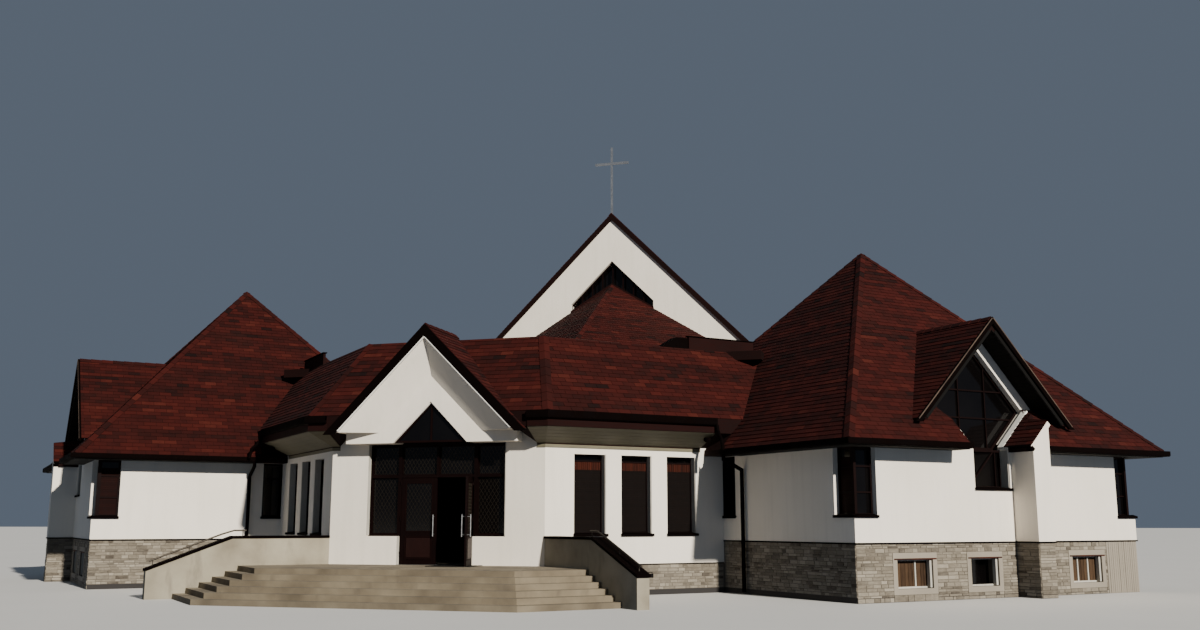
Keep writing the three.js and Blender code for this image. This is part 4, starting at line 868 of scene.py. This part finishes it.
make_pair("corner_window_posts", blocks(upright(grid(0, 0), -V), [
    (u - POST_HALF, u + POST_HALF, WING_SILL + 0.01, WING_HEAD, -v - POST_HALF, -v + POST_HALF) for u, v in posts],
    0.008), WOOD)
make_pair("corner_window_panes", [
    pane(face, a0, a1, WING_SILL, WING_HEAD, CORNER_SET + 0.042) for face, a0, a1 in cut_back], GLASS)
make_pair("corner_window_blinds", [
    slats(face, a0 + 0.05, a1 - 0.05, low, high, -CORNER_SET - 0.041, 0.05, 0.012)
    for face, a0, a1 in cut_back if face is not wing_front for low, high in BLIND_SPANS],
    BLIND)
make_pair("corner_window_sills", [
    sill(face, a0 - (0.05 if end > 0 else 0.02), a1 + (0.05 if end < 0 else 0.02), WING_SILL, CORNER_SET)
    for face, a0, a1, end in corner_legs], METAL)
NARROW = (1.83, 2.6)
make_pair("narrow_window_frame", window(
    wing_inner, *NARROW, WING_SILL, WING_HEAD, CORNER_SET, (), (NARROW_BAR,), 0.05), WOOD)
make_pair("narrow_window_pane", pane(wing_inner, *NARROW, WING_SILL, WING_HEAD, CORNER_SET + 0.042), GLASS)
make_pair("narrow_window_sill", sill(wing_inner, NARROW[0] - 0.03, NARROW[1] + 0.03, WING_SILL, CORNER_SET),
          METAL)

# Arrow window, measured from its middle: the neck stands in the wall, the head in the recessed gable above it
NECK_FOOT, NECK_HALF, ARROW_SPLIT, SHOULDER, HEAD_HALF, ELBOW, HEAD_TOP = 2.61, 0.6, 3.56, 3.61, 1.55, 4.56, 6.11
NECK_SET, HEAD_SET = 0.26, 0.48
arrow_face = upright(grid(DORMER_U, WING_V), -V)
neck = oblong(-NECK_HALF, NECK_HALF, NECK_FOOT, ARROW_SPLIT)
head = [(-NECK_HALF, ARROW_SPLIT), (NECK_HALF, ARROW_SPLIT), (NECK_HALF, SHOULDER), (HEAD_HALF, ELBOW), (0, HEAD_TOP),
        (-HEAD_HALF, ELBOW), (-NECK_HALF, SHOULDER)]


def edge_at(z):
    """Half the width of the arrow's head at a height: it widens one to one up to the elbow, then narrows again."""
    return NECK_HALF + z - SHOULDER if z < ELBOW else HEAD_TOP - z


arrow_bars = [(-0.53, -0.49, 3.6, HEAD_TOP - 0.53), (0.38, 0.42, 3.6, HEAD_TOP - 0.42)]
arrow_bars += [(0.03 - edge_at(z), edge_at(z) - 0.03, z - 0.022, z + 0.022) for z in (4.36, 5.05)]
make_pair("arrow_window_frame", [
    ring(arrow_face, neck, 0.055, -NECK_SET - 0.06, -NECK_SET),
    ring(arrow_face, head, 0.07, -HEAD_SET - 0.06, -HEAD_SET),
    blocks(arrow_face, [(*bar, -HEAD_SET - 0.05, -HEAD_SET - 0.008) for bar in arrow_bars], 0.004),
    blocks(arrow_face, [(a - 0.018, a + 0.018, 2.64, 3.54, -NECK_SET - 0.05, -NECK_SET - 0.008) for a in (-0.51, 0.4)],
           0.004),
    leaning(arrow_face, (-0.48, 2.68), (0.38, 3.54), 0.035, -NECK_SET - 0.045, -NECK_SET - 0.012)], WOOD)
make_pair("arrow_window_panes", [
    blocks(arrow_face, [(-0.58, 0.58, 2.63, ARROW_SPLIT - 0.01, -NECK_SET - 0.06, -NECK_SET - 0.052)]),
    prism(arrow_face, around(head, 0.02), -HEAD_SET - 0.06, -HEAD_SET - 0.052)], GLASS)
make_pair("arrow_window_sill", sill(arrow_face, -0.62, 0.65, NECK_FOOT, NECK_SET), METAL)
make_pair("arrow_reveal_boards", blocks(arrow_face, [(0.575, 0.599, 2.63, 3.55, -NECK_SET, -0.03)], 0.004),
          PALE_FRAME)


# Dormer: dark boards under its overhang, and a dark board on the end of its slab below the verge
def raked(origin, side, along, out):
    """A 45-degree gable edge's own axes on one side of its top: down the slope, up square to it, out of the gable."""
    return origin, (side * along - Z) / ROOT2, (side * along + Z) / ROOT2, out


dormer_end = grid(DORMER_U, DORMER_FRONT, 6.5)
under_parts = []
for side in (1, -1):
    lining = (dormer_end, V, (side * U - Z) / ROOT2, -(side * U + Z) / ROOT2)
    under_parts += [
        fix_turn(planks(lining, 0.0, 0.575, 0.012, 3.25, 0.0, 0.012, 140 + side, 0.115, True)),
        fix_turn(blocks(raked(dormer_end, side, U, -V), [(0.09, 2.3 * ROOT2, 0.0, 0.125, 0.0, 0.014)], 0.002))]
make_pair("dormer_soffit_boards", under_parts, BLACK_BOARD)
verge_top = grid(DORMER_U, DORMER_FRONT - 0.06, DORMER_RIDGE)
make_pair("dormer_verge_trim", [
    fix_turn(blocks(raked(verge_top, side, U, -V), [(0.02, 2.62 * ROOT2, -0.012, 0.016, -0.002, 0.006)], 0.002))
    for side in (1, -1)], FLASHING)

# Roof over the buttress: a shingled slope that falls to the left, with a gutter edge and a pale verge at its front
fin_slope = slope(grid(12.315, 0, 3.645), -U, 1)
fin_rows = [[0, 7.02, 7.9], [0.87, 7.02, 7.9], [0.87 + STEP, 7.02, 7.3], [1.2, 7.02, 7.1]]
make_pair("fin_shingles", shingles(fin_slope, fin_rows, 170), SHINGLE)
make_pair("fin_roof_boards", blocks(fin_slope, [
    (7.02, 7.88, 0.0, 0.87, -0.13, 0.0), (7.02, 7.2, 0.87, 1.2, -0.13, 0.0)]), ROOF_BOARD)
make_pair("fin_gutter_edge", blocks(fin_slope, [(7.19, 7.9, -0.06, 0.02, -0.15, 0.02)], 0.01), METAL)
make_pair("fin_verge", blocks(fin_slope, [(7.88, 7.895, -0.03, 0.86, -0.14, 0.0)], 0.003), WALL)
make_pair("arrow_edge_boards", blocks(fin_slope, [(6.84, 7.02, -0.02, 1.32, -0.02, 0.016)], 0.004),
          WHITE_BOARD)
make_pair("arrow_left_flashing", blocks(upright(grid(0, -6.86), -V), [(10.1, 10.16, 4.5, 4.62, 0.0, 0.012)]),
          FLASHING)

# Dark flashing upstand along the deck's edge up to the pavilion's roof, a low hood at its near end, and under the eave
# a disc and the bent neck of the downpipe
deck_edge = upright(grid(0, 0), -V)
make_pair("band_saddle", blocks(deck_edge, [(6.9, 9.1, 6.45, 6.84, 1.0, 1.07)], 0.01), ROOF_BOARD)
make_pair("saddle_flashing", blocks(deck_edge, [(6.86, 9.1, 6.84, 6.87, 0.97, 1.1)], 0.004), METAL)
disc_face = (grid(6.45, -2.6, 3.872), U, V, -Z)
make_pair("soffit_discs", [prism(disc_face, circle(0.11, 20), -0.07, 0.012),
                           prism(disc_face, circle(0.085, 20), 0.012, 0.03)], METAL)
swan_path = [grid(6.56, -2.86, 4.26), grid(6.56, -2.9, 4.1), grid(6.5, -3.15, 3.86), grid(6.5, -3.2, 3.6)]
make_pair("band_downpipe_neck", bent_pipe(swan_path, 0.045), METAL)
make("deck_vent_hood", prism(deck_edge, [(6.0, 6.5), (6.88, 6.5), (6.88, 6.8), (6.5, 6.8)], 0.75, 1.06),
     METAL)

# Felt strips with lapped edges over the deck, cut back at the band's top and where a pavilion's roof rises through it
DECK_HALF, STRIP, LAP, MARGIN = 7.5, 1.0, 0.06, 0.02
roof_x, roof_y = (WING_MID_U - WING_MID_V) / ROOT2, (WING_MID_U + WING_MID_V) / ROOT2
roof_half = (WING_EDGE - inset(BAND_TOP)) * ROOT2
meets_roof = roof_x - roof_half


def band_at(x):
    """The near end of the deck: level over the entrance wall, then back at 45 degrees along the splayed front."""
    return max(BAND_RUN - BAND_REACH, ROOT2 * (FRONT_V - BAND_REACH + BAND_RUN) + x)


def roof_at(x):
    """Where the deck runs into a pavilion's roof: the square outline of that roof, which stands on its corner."""
    return roof_y + roof_half - abs(x - roof_x)


strips = []
for edge in np.arange(0, DECK_HALF, STRIP):
    near, far = edge, min(edge + STRIP + LAP, DECK_HALF - 0.01)
    cuts = sorted({near, far, *(c for c in (meets_roof,) if near < c < far)})
    for a, b in zip(cuts[:-1], cuts[1:]):
        start = roof_at if (a + b) / 2 > meets_roof else band_at
        lift = 0.004 + 0.004 * (round(edge / STRIP) % 2)
        strips.append(prism((plan(0, 0, BAND_TOP), X, Y, Z), [
            (a, start(a) + MARGIN), (b, start(b) + MARGIN), (b, NAVE_WALL_Y - MARGIN), (a, NAVE_WALL_Y - MARGIN)],
            -0.01, lift))
make_pair("deck_felt_strips", strips, FELT)

# Entrance: lattice over the glass, panelled leaves, threshold, mat and pale reveal boards
LIGHTS = [oblong(1.09, 1.8, 1.52, 2.89), oblong(1.09, 1.8, 2.98, 3.675), oblong(0.04, 0.975, 2.98, 3.675),
          [(0.04, 3.785), (0.83, 3.785), (0.04, 4.6)]]
LEAF_FIELD, LEAF_LIGHT = oblong(0.12, 0.865, 0.88, 1.46), oblong(0.12, 0.865, 1.56, 2.78)
HINGE, LEAF_TURN = plan(0.985, 0.105), math.radians(105)
LEAF_OUTSIDE, LEAF_INSIDE, LIGHT_SET = -0.125, 0.175, 0.2


def flipped(outline):
    """The outline's mirror image, still anticlockwise."""
    return [(-a, b) for a, b in reversed(outline)]


def drawn_in(face, outline, edge, c0, c1, chamfer=0.0):
    """A block over a rectangle whose edges are drawn in all round."""
    (a0, b0), (a1, b1) = outline[0], outline[2]
    return blocks(face, [(a0 + edge, a1 - edge, b0 + edge, b1 - edge, c0, c1)], chamfer)


def opened(shape):
    """The same shape turned about the right leaf's upright hinge, out by 105 degrees."""
    points, faces, tones = shape
    x, y, z = (points - HINGE).T
    turned = [x * math.cos(LEAF_TURN) - y * math.sin(LEAF_TURN), x * math.sin(LEAF_TURN) + y * math.cos(LEAF_TURN), z]
    return np.column_stack(turned) + HINGE, faces, tones


make("entrance_lattice", [
    lattice(entrance, outline, -LIGHT_SET, -LIGHT_SET + 0.008) for one in LIGHTS for outline in (one, flipped(one))],
    LEAD)
make("entrance_beads", [
    ring(entrance, outline, 0.018, -LIGHT_SET, -LIGHT_SET + 0.018, -0.012)
    for one in LIGHTS[:3] for outline in (one, flipped(one))],
    WOOD)
leaf_wood, leaf_glass, leaf_lead, leaf_panel = [], [], [], []
for face, front, field, light in (
        (entrance, LEAF_OUTSIDE, LEAF_FIELD, LEAF_LIGHT),
        (upright(plan(0, 0), Y), LEAF_INSIDE, flipped(LEAF_FIELD), flipped(LEAF_LIGHT))):
    leaf_wood += [ring(face, field, 0.03, front - 0.004, front + 0.012),
                  ring(face, light, 0.024, front - 0.018, front + 0.008)]
    leaf_panel.append(drawn_in(face, field, 0.045, front - 0.004, front + 0.009, 0.006))
    leaf_glass.append(drawn_in(face, light, 0.002, front - 0.0185, front - 0.013))
    leaf_lead.append(lattice(face, light, front - 0.0135, front - 0.007))
for part_name, parts, finish, slot_name in (
        ("leaf_mouldings", leaf_wood, WOOD, "dark_wood"), ("leaf_panels", leaf_panel, PANEL_WOOD, "dark_wood"),
        ("leaf_panes", leaf_glass, GLASS, "glazing"), ("leaf_lattice", leaf_lead, LEAD, "dark_metal")):
    shape = together(*[fix_turn(part) for part in parts])
    make(f"{part_name}_right", opened(shape), finish, "right_leaf")
    make(f"{part_name}_left", shape, finish, "left_leaf", True)
make("threshold", blocks(entrance, [(-1.0, 1.0, 0.751, 0.757, -0.3, -0.06)], 0.002), STEEL)
make("door_mat", planks((plan(0, 0, 0.751), X, -Y, Z), 0.2, 1.35, 0.12, 0.95, 0.0, 0.016, 180, 0.05), MAT)
make_pair("entrance_reveal_boards", blocks(entrance, [
    (1.846, 1.869, 1.47, 3.74, -0.115, -0.004), (1.0, 1.019, 0.752, 1.45, -0.115, -0.004)], 0.004),
    PALE_FRAME)
make("gable_inner_trim", [
    fix_turn(blocks(raked(plan(0, GABLE_FRONT, 6.4), side, X, -Y), [(0.03, 3.3, -0.062, -0.03, -0.004, 0.05)], 0.004))
    for side in (1, -1)], WHITE_BOARD)

# The peak of the entrance is closed near the face of the gable by a dark light with a middle bar and two pale edges
peak_face = upright(plan(0, -0.42), -Y)
peak_outline = [(-0.985, 3.75), (0.985, 3.75), (0.0, 4.757)]
PEAK_SET = 0.07
make("peak_light_frame", [
    ring(peak_face, peak_outline, 0.05, -PEAK_SET - 0.05, -PEAK_SET),
    blocks(peak_face, [(-0.022, 0.022, 3.78, 4.66, -PEAK_SET - 0.045, -PEAK_SET - 0.004)], 0.004)], WOOD)
make("peak_light_pane", prism(peak_face, around(peak_outline, 0.03), -PEAK_SET - 0.04, -PEAK_SET - 0.03),
     GLASS)
make_pair("peak_edge_trim", leaning(peak_face, (0.96, 3.79), (0.02, 4.725), 0.016, -PEAK_SET + 0.002, -0.02),
          WHITE_BOARD)

# Windows of the nave: the chevron over the central roof and four on each side
chevron_face = upright(plan(0, NAVE_WALL_Y), -Y)
CHEVRON_HALF, CHEVRON_TOP, CHEVRON_BACK, BAR_STEP, BAR_HALF = 1.683, 12.035, -0.2, 0.42, 0.022


def roof_line(x):
    """The foot of the chevron: the central roof falls from its top by its slope to either side."""
    return CENTRE_APEX - CENTRE_SLOPE * abs(x) + 0.02


def chevron_top(x):
    """The top of the chevron, which falls one to one to either side."""
    return CHEVRON_TOP - abs(x)


chevron_parts = []
for side in (1, -1):
    for x in (*np.arange(4) * BAR_STEP, CHEVRON_HALF):
        x0, x1 = side * max(x - BAR_HALF, 0), side * min(x + BAR_HALF, CHEVRON_HALF)
        chevron_parts.append(prism(chevron_face, [
            (x0, roof_line(x0) + 0.01), (x1, roof_line(x1) + 0.01), (x1, chevron_top(x1) - 0.01),
            (x0, chevron_top(x0) - 0.01)], CHEVRON_BACK, -0.14))
    far = CHEVRON_HALF * side
    for line, shift in ((chevron_top, -0.075), (roof_line, 0.005)):
        middle, end = line(0) + shift, line(far) + shift
        chevron_parts.append(prism(chevron_face, [(0, middle), (far, end), (far, end + 0.07), (0, middle + 0.07)],
                                   CHEVRON_BACK, -0.13))
make("chevron_window_frame", chevron_parts, WOOD)
make("chevron_foot_flashing", [prism(chevron_face, [
    (0, roof_line(0) - 0.03), (side * 1.7, roof_line(1.7) - 0.03), (side * 1.7, roof_line(1.7) + 0.055),
    (0, roof_line(0) + 0.055)], -0.13, 0.012) for side in (1, -1)], ROOF_BOARD)
NAVE_HALF, NAVE_WINDOW = 9.0, 0.9
nave_side = upright(plan(NAVE_HALF, NAVE_WALL_Y), X)
nave_windows = [(start, start + NAVE_WINDOW) for start in (1.4, 4.2, 7.0, 9.8)]
make_pair("nave_window_frames", [
    window(nave_side, a0, a1, FRONT_SILL, FRONT_HEAD, FRONT_SET, ((a0 + a1) / 2,), (2.9,), 0.055)
    for a0, a1 in nave_windows], WOOD)
make_pair("nave_window_sills", [
    sill(nave_side, a0 - 0.04, a1 + 0.04, FRONT_SILL, FRONT_SET) for a0, a1 in nave_windows],
    METAL)

# Basement windows: planks, frames and smooth surrounds with rust at the ends of the lintels
BASEMENT = [(8.5, 9.6), (10.83, 11.75), (14.36, 15.46)]
BASEMENT_LOW, BASEMENT_HIGH, EDGE = 0.29, 0.95, 0.13
wing_base_face = upright(grid(0, WING_V + BASE_BACK), -V)
make_pair("basement_planks", [
    planks(wing_base_face, a0 + 0.03, a1 - 0.03, BASEMENT_LOW + 0.03, BASEMENT_HIGH - 0.03, -0.2, -0.16, seed, 0.11)
    for (a0, a1), seed in ((BASEMENT[0], 150), (BASEMENT[2], 151))], PLANK)
make_pair("basement_frames", [
    *[window(wing_base_face, a0, a1, BASEMENT_LOW, BASEMENT_HIGH, 0.13, bars, (), 0.04, 0.045, 0.03)
      for (a0, a1), bars in zip(BASEMENT, ((9.18,), (), (14.72, 15.1)))],
    blocks(wing_base_face, [(a1 - 0.07, a1 - 0.002, BASEMENT_LOW + 0.01, BASEMENT_HIGH - 0.02, -0.12, -0.03)
                            for a0, a1 in BASEMENT], 0.005)], PALE_FRAME)
make_pair("basement_surrounds", [
    ring(wing_base_face, oblong(a0 - EDGE, a1 + EDGE, BASEMENT_LOW - EDGE, BASEMENT_HIGH + 0.15), EDGE, -0.01, 0.016)
    for a0, a1 in BASEMENT], SURROUND)
make_pair("basement_lintels", blocks(wing_base_face, [
    (a0 - 0.1, a1 + 0.12, BASEMENT_HIGH - 0.012, BASEMENT_HIGH + 0.028, -0.1, 0.022) for a0, a1 in BASEMENT], 0.004),
    RUSTY)

# Foot of the walls: drip strips over the bases, 20 mm past each corner, the boarded end of the base and small vents
PAST = 0.02
drip = [(-0.02, 1.302), (0.018, 1.302), (0.022, 1.314), (0.016, 1.334), (-0.02, 1.338)]
front_drip = [(-0.02, 0.742), (0.016, 0.742), (0.02, 0.752), (0.012, 0.768), (-0.02, 0.77)]
make_pair("wing_drip_strips", [prism_ends(face, drip, a0, a1) for face, a0, a1 in (
    (wing_front, WING_U - PAST, BUTTRESS_LEFT - PAST), (wing_front, BUTTRESS_RIGHT + PAST, WING_U_END + PAST),
    (wing_inner, 2.05, PAST - WING_V), (wing_outer, WING_V - PAST, WING_V_END + PAST),
    (wing_rear, -WING_U_END - PAST, -13.02),
    (upright(grid(0, WING_V - BUTTRESS_OUT - PAST), -V), BUTTRESS_LEFT - 2 * PAST, BUTTRESS_RIGHT + 2 * PAST),
    (upright(grid(BUTTRESS_LEFT - PAST, 0), -U), 7.18, 7.9),
    (upright(grid(BUTTRESS_RIGHT + PAST, 0), U), -7.9, -7.18))], METAL)
make_pair("front_drip_strip", prism_ends(front_face, front_drip, 2.36, 7.26), METAL)
make_pair("base_end_boards", planks(wing_base_face, 15.667, 16.855, 0.0, 1.3, -0.005, 0.018, 160, 0.075),
          SURROUND)
make_pair("base_vents", [
    window(front_face, 4.9, 5.1, 0.42, 0.56, -0.012, (), (), 0.02, 0.02, 0.03),
    blocks(front_face, [(4.91, 5.09, 0.43, 0.55, -0.004, 0.004)], 0.001)], BLACK_BOARD)

# Soffit boards of the pavilion eaves, laid square round the eave, with two grooves between them; their near-black
# finish is painted shade under the eave
SOFFIT_UNDER, SOFFIT_TOP, GROOVE_TOP = -0.156, -0.142, -0.148
eave_section = [(0.02, SOFFIT_TOP), (0.57, SOFFIT_TOP), (0.57, SOFFIT_UNDER)]
for middle in (0.378, 0.198):
    eave_section += [(middle + 0.006, SOFFIT_UNDER), (middle, GROOVE_TOP), (middle - 0.006, SOFFIT_UNDER)]
eave_section.append((0.02, SOFFIT_UNDER))
make_pair("wing_soffit_boards", [fix_turn(eave_run(eave_section, stations, WING_EAVE))
                                 for stations in (inner_stations, outer_stations)], BLACK_BOARD)

# Camera at the photograph's angle, a pale floor, a soft low sun and a pale sky
FLOOR_HALF = 400.0
floor_mesh = bpy.data.meshes.new("pale_floor")
floor_mesh.from_pydata([(x, y, 0) for x, y in oblong(-FLOOR_HALF, FLOOR_HALF, -FLOOR_HALF, FLOOR_HALF)], [],
                       [(0, 1, 2, 3)])
floor = bpy.data.objects.new("pale_floor", floor_mesh)
bpy.context.scene.collection.objects.link(floor)
floor_finish = Finish("pale_floor_paint", 0.9)
floor_mesh.materials.append(floor_finish.colour(floor_finish.ramp(
    floor_finish.noise(0.2, 3), (0.0, (196, 195, 192)), (1.0, (206, 205, 202)))).material)
floor.visible_diffuse = False

CAMERA_PLACE, CAMERA_UP, CAMERA_TURN = (12.114, -39.163, 1.780), math.radians(10.154), math.radians(16.19)
camera_data = bpy.data.cameras.new("photo_camera")
camera_data.sensor_width, camera_data.lens = 36.0, 34.81
camera_data.clip_start, camera_data.clip_end = 0.1, 2000.0
camera = bpy.data.objects.new("photo_camera", camera_data)
camera.location = CAMERA_PLACE
camera.rotation_euler = (math.pi / 2 + CAMERA_UP, 0.0, CAMERA_TURN)
bpy.context.scene.collection.objects.link(camera)
bpy.context.scene.camera = camera

SUN_AZIMUTH, SUN_HEIGHT, SUN_WIDTH = math.radians(48), math.radians(25), math.radians(1.5)
SUN_STRENGTH, SKY_STRENGTH = 7.0, 0.2
sun_data = bpy.data.lights.new("low_sun", "SUN")
sun_data.energy, sun_data.angle, sun_data.color = SUN_STRENGTH, SUN_WIDTH, (1.0, 0.95, 0.86)
sun = bpy.data.objects.new("low_sun", sun_data)
sun_way = Vector((math.sin(SUN_AZIMUTH) * math.cos(SUN_HEIGHT), -math.cos(SUN_AZIMUTH) * math.cos(SUN_HEIGHT),
                  math.sin(SUN_HEIGHT)))
sun.rotation_mode = "QUATERNION"
sun.rotation_quaternion = sun_way.to_track_quat("Z", "Y")
bpy.context.scene.collection.objects.link(sun)
sky = bpy.data.worlds.new("pale_sky")
sky.use_nodes = True
background = sky.node_tree.nodes["Background"]
background.inputs["Color"].default_value = tint(190, 209, 236)
background.inputs["Strength"].default_value = SKY_STRENGTH
bpy.context.scene.world = sky
